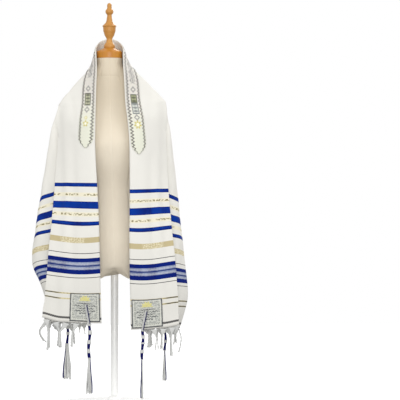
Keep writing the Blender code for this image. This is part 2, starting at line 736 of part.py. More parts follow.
def build_fringe(name, end_along, inward_way, material):
    """A narrow strip just off the end hem, with one strand hanging from each root."""
    side_name = name.split("_")[1]
    lengths = hem_lengths(end_along)
    hem_length = lengths[-1]
    stations = [FRINGE_END]
    pitch = (hem_length - 2 * FRINGE_END) / FRINGE_STRANDS
    for number in range(FRINGE_STRANDS):
        root = FRINGE_END + pitch * (number + 0.5)
        stations += [root - STRAND_WIDTH / 2, root + STRAND_WIDTH / 2]
    stations.append(hem_length - FRINGE_END)
    shape = bmesh.new()
    for length in stations:
        across = across_at(lengths, length)
        edge, normal = on_mesh(end_along, across)
        up = drape(end_along + inward_way * 0.01, across) - edge
        up.normalize()
        top = edge - up * (SEAM_GAP + TRIM_LIFT / 2)
        low = edge - up * (SEAM_GAP + FRINGE_STRIP)
        half = normal * (CLOTH_WALL / 2 + STRIP_OVERLAP)
        for point in (top - half, top + half, low + half, low - half):
            shape.verts.new(point)
    shape.verts.ensure_lookup_table()
    rings = [shape.verts[start:start + 4] for start in range(0, len(shape.verts), 4)]
    roots = []
    for index, (near, far) in enumerate(zip(rings, rings[1:])):
        for corner in range(4):
            after = (corner + 1) % 4
            face = shape.faces.new((near[corner], near[after], far[after], far[corner]))
            if corner == 2 and index % 2 == 1 and clear_of_tassels(stations[index], hem_length, side_name):
                roots.append(face)
    shape.faces.new(rings[0])
    shape.faces.new(rings[-1][::-1])
    bmesh.ops.recalc_face_normals(shape, faces=shape.faces)
    for number, root in enumerate(roots):
        start = root.calc_center_median()
        sway = Vector((math.sin(number * 2.1), math.sin(number * 1.3 + 1), 0)) * STRAND_SWAY
        length = FRINGE_LENGTH * (1 + 0.07 * math.sin(number * 1.7))
        centres = [start + Vector((0, 0, -length * share)) + sway * share for share in STRAND_SHARES]
        extrude_path(shape, root, centres, STRAND_REACHES)
    bmesh.ops.recalc_face_normals(shape, faces=shape.faces)
    return make_object(name, shape, material, sharp_angle=80)


def tassel_profile(head):
    """(depth, radius) rows of a wound and knotted head, from its top down."""
    knot, winding = TASSEL_RADIUS * KNOT_SWELL, TASSEL_RADIUS * WINDING_SWELL
    pitch = head / TASSEL_KNOTS
    rows = [(0.0, TASSEL_NECK)]
    for number in range(TASSEL_KNOTS):
        start = pitch * number
        rows += [
            (start + pitch * 0.10, knot),
            (start + pitch * 0.38, knot),
            (start + pitch * 0.52, winding),
            (start + pitch * 0.95, winding),
        ]
    return rows + [(head, knot), (head + TASSEL_SKIRT, TASSEL_RADIUS)]


def add_tassel_head(shape, head_top, side, out, head):
    """The head's rings and walls; returns its rings, top first."""
    for depth, radius in tassel_profile(head):
        for index in range(TASSEL_SIDES):
            angle = 2 * math.pi * (index + 0.5) / TASSEL_SIDES
            ring = side * math.cos(angle) + out * math.sin(angle)
            shape.verts.new(head_top + Vector((0, 0, -depth)) + ring * radius)
    shape.verts.ensure_lookup_table()
    rings = [shape.verts[start:start + TASSEL_SIDES] for start in range(0, len(shape.verts), TASSEL_SIDES)]
    for low, high in zip(rings, rings[1:]):
        for index in range(TASSEL_SIDES):
            after = (index + 1) % TASSEL_SIDES
            shape.faces.new((low[index], low[after], high[after], high[index]))
    return rings


def add_tassel_tails(shape, head_top, ring, size):
    """The loose strands, one from each side of the head's lowest ring."""
    bottom_centre = shape.verts.new(head_top + Vector((0, 0, -size["head"] - TASSEL_SKIRT)))
    roots = []
    for index in range(TASSEL_SIDES):
        roots.append(shape.faces.new((ring[index], ring[(index + 1) % TASSEL_SIDES], bottom_centre)))
    bmesh.ops.recalc_face_normals(shape, faces=shape.faces)
    for index, root in enumerate(roots):
        start = root.calc_center_median()
        outer = Vector((start.x - head_top.x, start.y - head_top.y, 0))
        drift = outer * size["flare"] * (1 + 0.4 * math.sin(index * 2.3))
        length = size["hang"] * (1 + 0.06 * math.sin(index * 1.9))
        centres = [start + Vector((0, 0, -length * share)) + drift * share for share in TAIL_SHARES]
        extrude_path(shape, root, centres, TAIL_REACHES)


def build_tassel(name, along, across, along_way, material):
    """A corner tassel: a loop through the eyelet, a wound and knotted head, loose strands."""
    eyelet, normal = drape(along, across), outward(along, across)
    size = TASSELS[name.removeprefix("tassel_")]
    hem = drape(CLOTH_LENGTH if along_way < 0 else 0.0, across + size["slide"])
    head_top = Vector((hem.x, hem.y, hem.z - TASSEL_CROWN))
    out = Vector((normal.x, normal.y, 0)).normalized()
    side = Vector((out.y, -out.x, 0))
    shape = bmesh.new()
    rings = add_tassel_head(shape, head_top, side, out, size["head"])
    top = rings[0]
    out_leg = shape.faces.new((top[0], top[1], top[2], top[3]))
    shape.faces.new((top[7], top[0], top[3], top[4]))
    in_leg = shape.faces.new((top[4], top[5], top[6], top[7]))
    add_tassel_tails(shape, head_top, rings[-1], size)
    in_off = CLOTH_WALL / 2 + SEAM_GAP + LOOP_RADIUS
    out_off = in_off + TRIM_LIFT + TRIM_WALL + (SIDE_LIFT if "side" in name else 0.0)
    down = (hem - eyelet).normalized()
    legs = []
    for face, offset in ((out_leg, out_off), (in_leg, -in_off)):
        near_hem = hem + out * offset + Vector((0, 0, 0.004))
        near_eyelet = eyelet + normal * offset + down * 0.006
        over_eyelet = eyelet + normal * offset * 0.62 + down * LOOP_SEAT
        centres = (near_hem, near_eyelet, over_eyelet)
        way_in = normal if offset < 0 else -normal
        legs.append(extrude_path(shape, face, centres, (LOOP_RADIUS,) * 3, way_in))
    loops = [edge for leg in legs for edge in leg.edges]
    bmesh.ops.delete(shape, geom=legs, context="FACES_ONLY")
    bmesh.ops.bridge_loops(shape, edges=loops)
    bmesh.ops.recalc_face_normals(shape, faces=shape.faces)
    return make_object(name, shape, material, sharp_angle=80)


# ---- dress form and stand ----
def form_axis(height):
    share = (height - FORM_STRAIGHT_BELOW) / (NECK_TOP - FORM_STRAIGHT_BELOW)
    return NECK_CENTRE_X * min(max(share, 0.0), 1.0)


def tapered(value, height):
    """A section's sine or cosine, drawn in at the shoulders so the section tapers to its ends."""
    low, full, ending, end = TAPER_HEIGHTS
    power = 1 + TAPER * smooth_step(height, low, full) * (1 - smooth_step(height, ending, end))
    return math.copysign(abs(value) ** power, value)


def build_form(material):
    """The torso: lofted sections, with a shallow arch across its underside."""
    shape = bmesh.new()
    for height, half_width, front, back in reversed(FORM_SECTIONS):
        for index in range(FORM_SIDES):
            angle = 2 * math.pi * index / FORM_SIDES
            x = half_width * tapered(math.cos(angle), height)
            y = tapered(math.sin(angle), height) * (back if math.sin(angle) > 0 else front)
            low = 1 - smooth_step(height, FORM_SECTIONS[-1][0], ARCH_TOP)
            arch = ARCH_RISE * low * max(0.0, 1 - abs(x) / ARCH_HALF_WIDTH)
            shape.verts.new((x + form_axis(height), y, height + arch))
    join_rings(shape, FORM_SIDES)
    item = make_object("dress_form", shape, material)
    socket = bmesh.new()
    bmesh.ops.create_cone(
        socket, cap_ends=True, segments=ROUND_SIDES, depth=0.2,
        radius1=POLE_RADIUS + SEAM_GAP, radius2=POLE_RADIUS + SEAM_GAP)
    bmesh.ops.translate(socket, verts=socket.verts, vec=(0, 0, pole_top() + SEAM_GAP - 0.1))
    cut_away(item, make_object("cutter_socket", socket, bpy.data.materials["cutter"]))
    return item


def pole_top():
    return FORM_SECTIONS[-1][0] + ARCH_RISE + POLE_SOCKET


def build_stand(metal):
    base = bmesh.new()
    bmesh.ops.create_cone(
        base, cap_ends=True, segments=48, radius1=BASE_RADIUS, radius2=BASE_RADIUS, depth=BASE_HEIGHT)
    bmesh.ops.translate(base, verts=base.verts, vec=(0, 0, BASE_HEIGHT / 2))
    rim = [edge for edge in base.edges if all(vertex.co.z > BASE_HEIGHT * 0.9 for vertex in edge.verts)]
    bmesh.ops.bevel(base, geom=rim, offset=BASE_BEVEL, segments=2, profile=0.5, affect="EDGES", material=-1)
    make_object("stand_base", base, metal)
    foot = BASE_HEIGHT + SEAM_GAP
    profile = [
        (COLLAR_RADIUS, 0),
        (COLLAR_RADIUS, COLLAR_HEIGHT),
        (POLE_RADIUS, COLLAR_TOP),
        (POLE_RADIUS, pole_top() - foot),
    ]
    turned("stand_pole", profile, (0, 0, foot), metal)


def main():
    clear_scene()
    cloth = make_material("cloth", (0.90, 0.89, 0.86), 0.85)
    band = make_material("band", (0.80, 0.80, 0.82), 0.75)
    patch = make_material("patch", (0.74, 0.75, 0.78), 0.75)
    cord = make_material("cord", (0.93, 0.93, 0.92), 0.7)
    linen = make_material("linen", (0.72, 0.62, 0.48), 0.9)
    wood = make_material("wood", (0.72, 0.42, 0.15), 0.3)
    pale_wood = make_material("pale_wood", (0.82, 0.62, 0.36), 0.45)
    metal = make_material("metal", (0.85, 0.85, 0.84), 0.35)
    make_material("cutter", (1, 0, 0), 0.5)

    shawl = build_shawl(cloth)
    build_band(band)
    for name, along, along_way, across_way in CORNERS:
        eyelet = (along + along_way * EYELET_ALONG, corner_across(along, across_way, EYELET_ACROSS))
        cutter = build_eyelet_cutter(name, *eyelet)
        cut_away(shawl, cutter)
        cut_away(build_patch(name, along, across_way, along_way, patch), cutter)
        build_tassel("tassel_" + name, *eyelet, along_way, cord)
    build_fringe("fringe_left", 0.0, 1, cord)
    build_fringe("fringe_right", CLOTH_LENGTH, -1, cord)

    build_form(linen)
    neck = (NECK_CENTRE_X, 0, NECK_TOP + SEAM_GAP)
    turned("neck_cap", CAP_PROFILE, neck, wood)
    finial_foot = neck[2] + CAP_PROFILE[-1][1] + SEAM_GAP
    turned("finial", FINIAL_PROFILE, (neck[0], neck[1], finial_foot), pale_wood, 24)
    build_stand(metal)


main()
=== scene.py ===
import math

import bmesh
import bpy
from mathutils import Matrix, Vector, noise


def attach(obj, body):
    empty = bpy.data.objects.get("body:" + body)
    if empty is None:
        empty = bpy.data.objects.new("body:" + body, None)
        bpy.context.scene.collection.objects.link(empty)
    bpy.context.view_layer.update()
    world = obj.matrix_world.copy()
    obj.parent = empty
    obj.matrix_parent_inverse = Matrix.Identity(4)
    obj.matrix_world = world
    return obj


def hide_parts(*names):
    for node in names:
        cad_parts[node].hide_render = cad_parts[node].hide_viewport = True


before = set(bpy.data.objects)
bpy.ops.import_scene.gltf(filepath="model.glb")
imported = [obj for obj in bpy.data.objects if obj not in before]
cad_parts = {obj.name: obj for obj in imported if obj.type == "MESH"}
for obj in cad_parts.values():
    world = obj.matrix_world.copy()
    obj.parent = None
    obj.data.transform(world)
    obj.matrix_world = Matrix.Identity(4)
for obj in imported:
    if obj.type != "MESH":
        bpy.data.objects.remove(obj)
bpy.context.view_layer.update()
print("frame loaded")

# Cloth places are (along, across) in metres: along from the left end hem over the neck to the
# right end hem, across from the neck edge to the long hem.
cloth = {
    "length": 1.83,
    "width": 0.53,
    "wall": 0.0016,
    "shoulderAcross": 0.14,  # neck edge to shoulder tip
    "drapeWidth": 0.335,  # shoulder tip to long hem, as the side folds take it up
    "backFoldAngle": math.radians(70),
    "cornerLift": 0.85,  # the low side corners hang higher by this share of their fall
    "backLift": 0.20,
    "archAcross": 0.06,  # past this the back slopes with the shoulders
    "neckCentreX": -0.0158,
    "foldOpens": (0.025, 0.15),  # the side folds open over this reach from the shoulder tip
    "cornerFall": (0.40, 0.66),  # the fall over which the low corners' lift comes in
    "slumpShares": (0.18, 0.42, 0.58, 0.64, 0.95),  # where round the side the slump starts, tips and ends
    "tiltFall": (0.45, 0.15),  # the stripes' tilt fades between these falls from the tip
    "tiltAcross": 0.30,
    "sagAlong": (0.05, 0.13, 0.27, 0.36),
    "curlAcross": (0.095, 0.16, 0.20, 0.29),
    "curlAlong": (0.02, 0.12),
    "backRound": (0.7, 0.10),  # share of the shoulder's width, and how far past it the back rounds
    "panelBend": 1.8,
    "shoulderBend": 1.15,
    "straightBelow": 0.06,  # front panels turn straight round the shoulder tip's height
    "straightAbove": 0.02,
    "hangRows": 96,  # rows of cells from the shoulder tip to the end hem
    "backRows": 48,  # how many of them meet the back
    "topRows": 44,
    "bandColumns": 8,
    "panelColumns": 12,
    "foldCells": 8,
    "weld": 0.00005,
}
halfLength = cloth["length"] / 2

# edge: (height, out, front) of the neck edge; ridge: (height, out, back) from neck to shoulder tip;
# folds: (share, then out lean and back lean at each reach), degrees from straight down;
# tilt: how much higher the stripes hang at the front fold than at the neck edge
# curl: (up, back) of the front hem's outer corner; sag: how far the low stripes dip mid-panel
# slump: (below the tip, down, further down at the outer edge) by which the side flaps slip down
sides = {
    "left": {
        "sign": -1,
        "hemHeight": 0.256,
        "tip": (0.1727, 0.0, 0.925),
        "edge": [
            (0.240, 0.039, 0.124), (0.460, 0.0446, 0.121), (0.583, 0.048, 0.119), (0.682, 0.0533, 0.118),
            (0.790, 0.0589, 0.113), (0.870, 0.0585, 0.106), (0.970, 0.0570, 0.083), (1.040, 0.0550, 0.060),
            (1.094, 0.0580, 0.027)],
        "ridge": [
            (1.094, 0.0580, -0.027), (1.045, 0.0720, -0.012), (1.026, 0.0850, -0.006), (0.990, 0.1190, 0.0),
            (0.951, 0.1530, 0.0), (0.925, 0.1727, 0.0)],
        "swell": 13.0,
        "curl": (0.015, 0.012),
        "sag": 0.006,
        "slump": [
            (0.10, 0.0, 0.0), (0.25, 0.014, 0.009), (0.31, 0.008, 0.010), (0.37, 0.0075, 0.010),
            (0.41, 0.0105, 0.010), (0.46, 0.0115, 0.012), (0.52, 0.010, 0.008), (0.66, 0.0, 0.0)],
        "reaches": (0.15, 0.30, 0.47, 0.545, 0.61),
        "folds": [
            (0.00, 1.6, -10.0, 2.6, -10.0, 3.7, -10.0, 3.8, -10.0, 3.9, -10.0),
            (0.20, -6.0, -6.5, -6.5, -6.5, -6.5, -7.0, -6.2, -7.1, -6.0, -7.2),
            (0.42, 6.0, -4.0, 5.0, -4.0, 4.8, -5.0, 3.6, -5.4, 2.9, -5.6),
            (0.48, 12.0, -1.5, 10.4, -1.5, 9.2, -2.5, 5.6, -3.4, 3.6, -4.0),
            (0.54, 13.2, 3.5, 11.5, 3.5, 9.9, 1.1, 6.0, -0.6, 3.5, -2.0),
            (0.61, 10.5, 8.5, 8.6, 8.5, 6.7, 5.2, 3.2, 2.2, 0.8, 0.0),
            (0.71, -3.0, 5.0, -4.0, 5.0, -4.0, 5.0, -5.6, 3.0, -7.0, 1.2),
            (1.00, 3.5, 11.5, 4.4, 11.5, 4.1, 9.2, 3.2, 6.0, 2.4, 3.0)],
        "tilt": 0.006,
    },
    "right": {
        "sign": 1,
        "hemHeight": 0.237,
        "tip": (0.1584, 0.0, 0.934),
        "edge": [
            (0.225, 0.050, 0.122), (0.474, 0.0453, 0.119), (0.660, 0.0462, 0.118), (0.800, 0.0453, 0.113),
            (0.862, 0.0409, 0.107), (0.924, 0.0338, 0.097), (1.000, 0.0300, 0.078), (1.050, 0.0270, 0.056),
            (1.094, 0.0265, 0.027)],
        "ridge": [
            (1.094, 0.0265, -0.027), (1.045, 0.0480, -0.012), (1.026, 0.0670, -0.006), (0.990, 0.1040, 0.0),
            (0.951, 0.1410, 0.0), (0.934, 0.1584, 0.0)],
        "swell": 7.0,
        "curl": (0.008, 0.006),
        "sag": 0.005,
        "slump": [(0.30, 0.0, 0.0), (0.48, 0.006, 0.001), (0.60, 0.006, 0.002), (0.68, 0.0, 0.0)],
        "reaches": (0.14, 0.30, 0.48, 0.61, 0.69, 0.77),
        "folds": [
            (0.00, 0.6, -9.5, 1.6, -9.5, 2.9, -9.5, 3.2, -9.5, 3.1, -9.5, 3.1, -9.5),
            (0.20, -6.5, -6.0, -6.5, -6.0, -6.2, -6.5, -6.0, -7.0, -6.0, -7.0, -6.0, -7.0),
            (0.42, 4.5, -3.5, 4.0, -3.5, 3.6, -4.4, 3.0, -5.2, 2.3, -5.6, 1.8, -5.6),
            (0.48, 7.2, 0.0, 6.8, 0.0, 6.2, -1.5, 5.6, -3.0, 3.6, -4.0, 2.3, -4.0),
            (0.54, 8.0, 5.0, 7.2, 5.0, 6.8, 2.2, 6.4, -0.6, 4.2, -1.6, 2.0, -1.8),
            (0.60, 6.6, 9.0, 6.0, 9.0, 4.6, 5.2, 4.2, 1.4, 2.2, 0.4, 0.5, 0.2),
            (0.70, -2.0, 5.5, -3.2, 5.2, -3.0, 5.2, -3.6, 4.0, -4.8, 2.8, -5.2, 2.0),
            (1.00, 2.5, 11.5, 4.8, 11.5, 5.9, 7.0, 6.6, 4.0, 6.1, 3.2, 3.4, 2.6)],
        "tilt": 0.008,
    },
}
backMiddle = [  # across, back, height
    (0.00, 0.056, 1.131), (0.03, 0.063, 1.102), (0.10, 0.080, 1.034), (0.20, 0.096, 0.936),
    (0.30, 0.101, 0.838), (0.53, 0.104, 0.620)]

# Soft troughs (minus) and ridges, listed one by one: along and across of both ends, half width, height.
# Along counts from that side's own end hem.
creases = {
    "left": [
        (0.66, 0.132, 0.34, 0.118, 0.012, -0.0018),
        (0.64, 0.120, 0.20, 0.088, 0.010, 0.0014),
        (0.56, 0.082, 0.06, 0.070, 0.013, -0.0020),
        (0.40, 0.040, 0.02, 0.030, 0.012, 0.0016),
        (0.74, 0.115, 0.62, 0.080, 0.011, -0.0016),
        (0.80, 0.080, 0.70, 0.120, 0.012, 0.0012),
        (0.14, 0.120, 0.02, 0.105, 0.012, -0.0028),
        (0.30, 0.152, 0.05, 0.146, 0.011, -0.0032),
        (0.66, 0.160, 0.40, 0.200, 0.013, -0.0020),
        (0.64, 0.170, 0.30, 0.260, 0.014, 0.0022),
        (0.24, 0.330, 0.10, 0.300, 0.013, -0.0028),
        (0.34, 0.360, 0.22, 0.300, 0.014, -0.0024),
        (0.70, 0.190, 0.78, 0.330, 0.014, -0.0022),
        (0.74, 0.200, 0.88, 0.420, 0.016, 0.0020),
        (0.80, 0.480, 0.90, 0.400, 0.014, -0.0016),
    ],
    "right": [
        (0.68, 0.130, 0.36, 0.120, 0.012, -0.0018),
        (0.66, 0.115, 0.24, 0.095, 0.011, 0.0014),
        (0.52, 0.078, 0.05, 0.074, 0.013, -0.0018),
        (0.42, 0.036, 0.03, 0.040, 0.012, 0.0014),
        (0.76, 0.110, 0.64, 0.078, 0.011, -0.0016),
        (0.82, 0.076, 0.72, 0.118, 0.012, 0.0012),
        (0.15, 0.118, 0.02, 0.128, 0.012, -0.0020),
        (0.66, 0.165, 0.42, 0.210, 0.013, -0.0020),
        (0.62, 0.180, 0.30, 0.270, 0.014, 0.0020),
        (0.26, 0.330, 0.10, 0.310, 0.013, -0.0026),
        (0.70, 0.200, 0.78, 0.350, 0.014, -0.0020),
        (0.74, 0.210, 0.90, 0.440, 0.015, 0.0018),
        (0.62, 0.500, 0.72, 0.420, 0.014, -0.0024),
    ],
}
waves = {"pitch": 0.043, "height": 0.0012, "fades": (0.25, 0.62), "wander": 1.6}
softness = {"size": 0.055, "height": 0.0011, "freeAcross": (0.045, 0.085), "underBand": 0.35}


def softStep(value, low, high):
    share = min(max((value - low) / (high - low), 0.0), 1.0)
    return share * share * (3 - 2 * share)


def window(value, low, full, ending, end):  # rises to 1, then falls away
    return softStep(value, low, full) * (1 - softStep(value, ending, end))


def mix(low, high, share):
    return low + (high - low) * share


def cubic(t, low, high, slopeLow, slopeHigh):
    return (low * (2 * t**3 - 3 * t**2 + 1) + slopeLow * (t**3 - 2 * t**2 + t)
            + high * (3 * t**2 - 2 * t**3) + slopeHigh * (t**3 - t**2))


def rowBelow(keys, key):
    index = 0
    while index < len(keys) - 2 and key > keys[index + 1]:
        index += 1
    return index


def readTable(rows, key):  # a smooth curve through the rows
    if rows[0][0] > rows[-1][0]:
        rows = rows[::-1]
    key = min(max(key, rows[0][0]), rows[-1][0])
    index = rowBelow([row[0] for row in rows], key)
    low, high = rows[index], rows[index + 1]
    before, after = rows[max(index - 1, 0)], rows[min(index + 2, len(rows) - 1)]
    span = high[0] - low[0]
    rise, fall = span / (high[0] - before[0]), span / (after[0] - low[0])
    return [cubic((key - low[0]) / span, a, b, (b - previous) * rise, (following - a) * fall)
            for previous, a, b, following in list(zip(before, low, high, after))[1:]]


def between(low, high, shares):  # each axis goes its own share of the way
    return Vector([mix(*row) for row in zip(low, high, shares)])


def spread(low, high, cells):
    return [low + (high - low) * number / cells for number in range(cells + 1)]


def sideShare(across):
    shoulder = cloth["shoulderAcross"]
    return (across - shoulder) * cloth["drapeWidth"] / (cloth["width"] - shoulder)


def tipAlong(side):
    return side["tip"][2] - side["hemHeight"]


def neckAlong(side):
    return side["ridge"][0][0] - side["hemHeight"]


def hangFromTip(side, over, down):  # a point of the side folds
    reach = math.hypot(over, down)
    room = min(reach * math.sin(cloth["backFoldAngle"]), cloth["drapeWidth"])
    share = min(over / room, 1.0) if room > 1e-6 else 0.0
    leans = readTable(side["folds"], share)
    levels = [(level, *leans[2 * index:2 * index + 2]) for index, level in enumerate(side["reaches"])]
    outLean, backLean = readTable(levels, reach)
    first, last = side["folds"][0], side["folds"][-1]
    opened = softStep(reach, *cloth["foldOpens"])
    outLean = mix(mix(first[1], last[1], share) + side["swell"] * math.sin(math.pi * share), outLean, opened)
    backLean = mix(mix(first[2], last[2], share), backLean, opened)
    lift = mix(cloth["backLift"], cloth["cornerLift"], softStep(down, *cloth["cornerFall"]))
    drop = mix(down, reach, 1 - lift)
    out, back, height = side["tip"]
    slump, slope = readTable(side["slump"], down)
    start, full, tipped, ending, end = cloth["slumpShares"]
    slipped = slump * softStep(share, start, full) + slope * softStep(share, full, tipped)
    slipped *= 1 - softStep(share, ending, end)
    out += drop * math.tan(math.radians(outLean))
    return Vector((out, back + drop * math.tan(math.radians(backLean)), height - drop - slipped))


def ridgePoint(side, share):
    height = mix(side["ridge"][0][0], side["ridge"][-1][0], share)
    out, back = readTable(side["ridge"], height)
    return Vector((out, back, height))


def frontPoint(side, along, across, border):
    tip, neck = tipAlong(side), neckAlong(side)
    height = side["hemHeight"] + along
    out, front = readTable(side["edge"], height)
    edge = Vector((out, -front, height))
    past = (neck - along) / (neck - tip)
    outer = hangFromTip(side, 0.0, tip - along) if along < tip else ridgePoint(side, past)
    share = across / border if border > 1e-6 else 0.0
    straight = softStep(along, tip - cloth["straightBelow"], tip + cloth["straightAbove"])
    shareX = mix(share, share ** cloth["shoulderBend"], straight)
    shareY = mix(share ** cloth["panelBend"], share, straight)
    return between(edge, outer, (shareX, shareY, share))


def backPoint(side, along, across, border):
    shoulder = cloth["shoulderAcross"]
    if across <= shoulder:
        outer = ridgePoint(side, across / shoulder)
    else:
        over = sideShare(across)
        outer = hangFromTip(side, over, over / math.tan(cloth["backFoldAngle"]))
    back, height = readTable(backMiddle, across)
    middle = Vector((cloth["neckCentreX"] * side["sign"], back, height))
    share = (along - border) / (halfLength - border)
    sine, cosine = math.sin(share * math.pi / 2), math.cos(share * math.pi / 2)
    inner, beyond = cloth["backRound"]
    rounded = 1 - softStep(across, shoulder * inner, shoulder + beyond)
    sloped = rounded * softStep(across, 0.0, cloth["archAcross"])
    return between(outer, middle, (
        mix(share, 1 - cosine, rounded), mix(1 - (1 - share) ** 2, sine, rounded),
        mix(sine, softStep(share, 0.0, 1.0), sloped)))


def drape(along, across):  # the place in space of a point of the cloth
    side = sides["left"] if along <= halfLength else sides["right"]
    if along > halfLength:
        along = cloth["length"] - along
    tip, neck, shoulder = tipAlong(side), neckAlong(side), cloth["shoulderAcross"]
    over = sideShare(across)
    if across <= shoulder:
        border = neck - (neck - tip) * across / shoulder
    else:
        border = tip - over / math.tan(cloth["backFoldAngle"])
    if along >= border:
        point = backPoint(side, along, across, border)
    elif across <= shoulder:
        point = frontPoint(side, along, across, shoulder * min(1.0, (neck - along) / (neck - tip)))
    else:
        point = hangFromTip(side, over, tip - along)
    low, high = (tip - fall for fall in cloth["tiltFall"])
    lift = side["tilt"] * (softStep(across, 0.0, shoulder) - 0.5) * (1 - softStep(along, low, high))
    lift *= 1 - softStep(across, shoulder, cloth["tiltAcross"])
    lift -= side["sag"] * math.sin(math.pi * min(across / shoulder, 1.0)) * window(along, *cloth["sagAlong"])
    up, back = side["curl"]
    curled = window(across, *cloth["curlAcross"]) * (1 - softStep(along, *cloth["curlAlong"]))
    return Vector((point.x * side["sign"], point.y + back * curled, point.z + lift + up * curled))


def outward(along, across):  # the way out of the cloth's right side
    step = 0.002
    low, high = max(along - step, 0.0), min(along + step, cloth["length"])
    near, far = max(across - step, 0.0), min(across + step, cloth["width"])
    run = drape(high, across) - drape(low, across)
    rise = drape(along, far) - drape(along, near)
    return run.cross(rise).normalized()


def creaseLift(along, across):
    name = "left" if along <= halfLength else "right"
    fromHem = min(along, cloth["length"] - along)
    free = softStep(across, *softness["freeAcross"])
    lift = 0.0
    for startAlong, startAcross, endAlong, endAcross, half, height in creases[name]:
        run, rise = endAlong - startAlong, endAcross - startAcross
        share = ((fromHem - startAlong) * run + (across - startAcross) * rise) / (run * run + rise * rise)
        share = min(max(share, 0.0), 1.0)
        off = math.hypot(fromHem - startAlong - share * run, across - startAcross - share * rise)
        if off < 3 * half:
            lift += height * math.exp(-(off / half) ** 2)
    low = 1 - softStep(fromHem, *waves["fades"])
    wander = waves["wander"] * noise.noise(Vector((fromHem * 4, across * 6, 3.1)))
    phase = across / waves["pitch"] * 2 * math.pi + wander
    lift += waves["height"] * low * math.sin(phase)
    place = Vector((along / softness["size"], across / softness["size"] * 0.6, 0.4))
    lift += softness["height"] * noise.noise(place) * free
    return lift * mix(softness["underBand"], 1, free)


def clothPoint(along, across, lift=0.0):
    return drape(along, across) + outward(along, across) * (creaseLift(along, across) + lift)


def fromLeft(name, along):  # counts from the left end hem what was counted from a side's own
    return along if name == "left" else cloth["length"] - along


# Mesh and object makers
def finishPiece(name, shape, material, node, sharp=60, wall=0.0):
    mesh = bpy.data.meshes.new(name)
    shape.to_mesh(mesh)
    shape.free()
    mesh.shade_smooth()
    mesh.set_sharp_from_angle(angle=math.radians(sharp))
    mesh.materials.append(material)
    piece = addItem(name, mesh)
    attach(piece, "root")
    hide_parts(node)
    if wall:
        solidify = piece.modifiers.new("wall", "SOLIDIFY")
        solidify.thickness = wall
        solidify.offset = 0
        solidify.use_even_offset = False
        solidify.use_quality_normals = True
    print("made", name, len(mesh.polygons), "faces")
    return piece


def addItem(name, data):
    item = bpy.data.objects.new(name, data)
    bpy.context.scene.collection.objects.link(item)
    return item


def newShape():
    shape = bmesh.new()
    for layer in ("first", "second"):
        shape.verts.layers.float.new(layer)
    return shape


def addGrid(shape, columns, rows, place):  # place gives a point and its two pattern coordinates
    wide, high = len(columns) - 1, len(rows) - 1
    made = bmesh.ops.create_grid(shape, x_segments=wide, y_segments=high, size=0.5)["verts"]
    first, second = shape.verts.layers.float["first"], shape.verts.layers.float["second"]
    for vertex in made:
        column, row = columns[round((vertex.co.x + 0.5) * wide)], rows[round((vertex.co.y + 0.5) * high)]
        vertex.co, vertex[first], vertex[second] = place(column, row)
    return made


def unwrap(shape):  # the pattern coordinates become the piece's UV map
    first, second = shape.verts.layers.float["first"], shape.verts.layers.float["second"]
    uvMap = shape.loops.layers.uv.new("pattern")
    for face in shape.faces:
        for loop in face.loops:
            loop[uvMap].uv = (loop.vert[first], loop.vert[second])


def closeSeams(shape, reach):
    unwrap(shape)
    bmesh.ops.remove_doubles(shape, verts=shape.verts, dist=reach)
    bmesh.ops.recalc_face_normals(shape, faces=shape.faces)


def pieceName(kind, name):  # patch and front_left give patchFrontLeft
    return kind + name.title().replace("_", "")


# The shawl: front and shoulders, back, and two sides that fan out from the shoulder tips
def halfLines(side):
    tip = tipAlong(side)
    return spread(0.0, tip, cloth["hangRows"]) + spread(tip, halfLength, cloth["topRows"])[1:]


def foldShares(side):
    folds = [row[0] for row in side["folds"]]
    shares = [folds[0]]
    for low, high in zip(folds, folds[1:]):
        shares += spread(low, high, cloth["foldCells"])[1:]
    return shares


def sideFoldPlace(side, row, share):  # cloth place of a mesh point of the side folds
    tip, width = tipAlong(side), cloth["drapeWidth"]
    sine = math.sin(cloth["backFoldAngle"])
    if row <= cloth["backRows"]:
        end = width / sine * row / cloth["backRows"]
    else:
        low = width / sine * math.cos(cloth["backFoldAngle"])
        part = (row - cloth["backRows"]) / (cloth["hangRows"] - cloth["backRows"])
        end = math.hypot(width, mix(low, tip, part))
    reach = mix(tip * row / cloth["hangRows"], end, share**2)
    if row == cloth["hangRows"]:
        reach = math.hypot(tip, width * share)
    over = min(reach * sine, width) * share
    down = math.sqrt(max(reach**2 - over**2, 0.0))
    shoulder = cloth["shoulderAcross"]
    return tip - down, shoulder + over * (cloth["width"] - shoulder) / width


def onCloth(along, across):
    return clothPoint(along, across), along, across


def onBack(column, across):
    for name, side in sides.items():
        along = fromLeft(name, column)
        if along <= halfLength:
            tip = tipAlong(side)
            border = tip - sideShare(across) / math.tan(cloth["backFoldAngle"])
            along = border + (along - tip) * (halfLength - border) / (halfLength - tip)
            return onCloth(fromLeft(name, along), across)


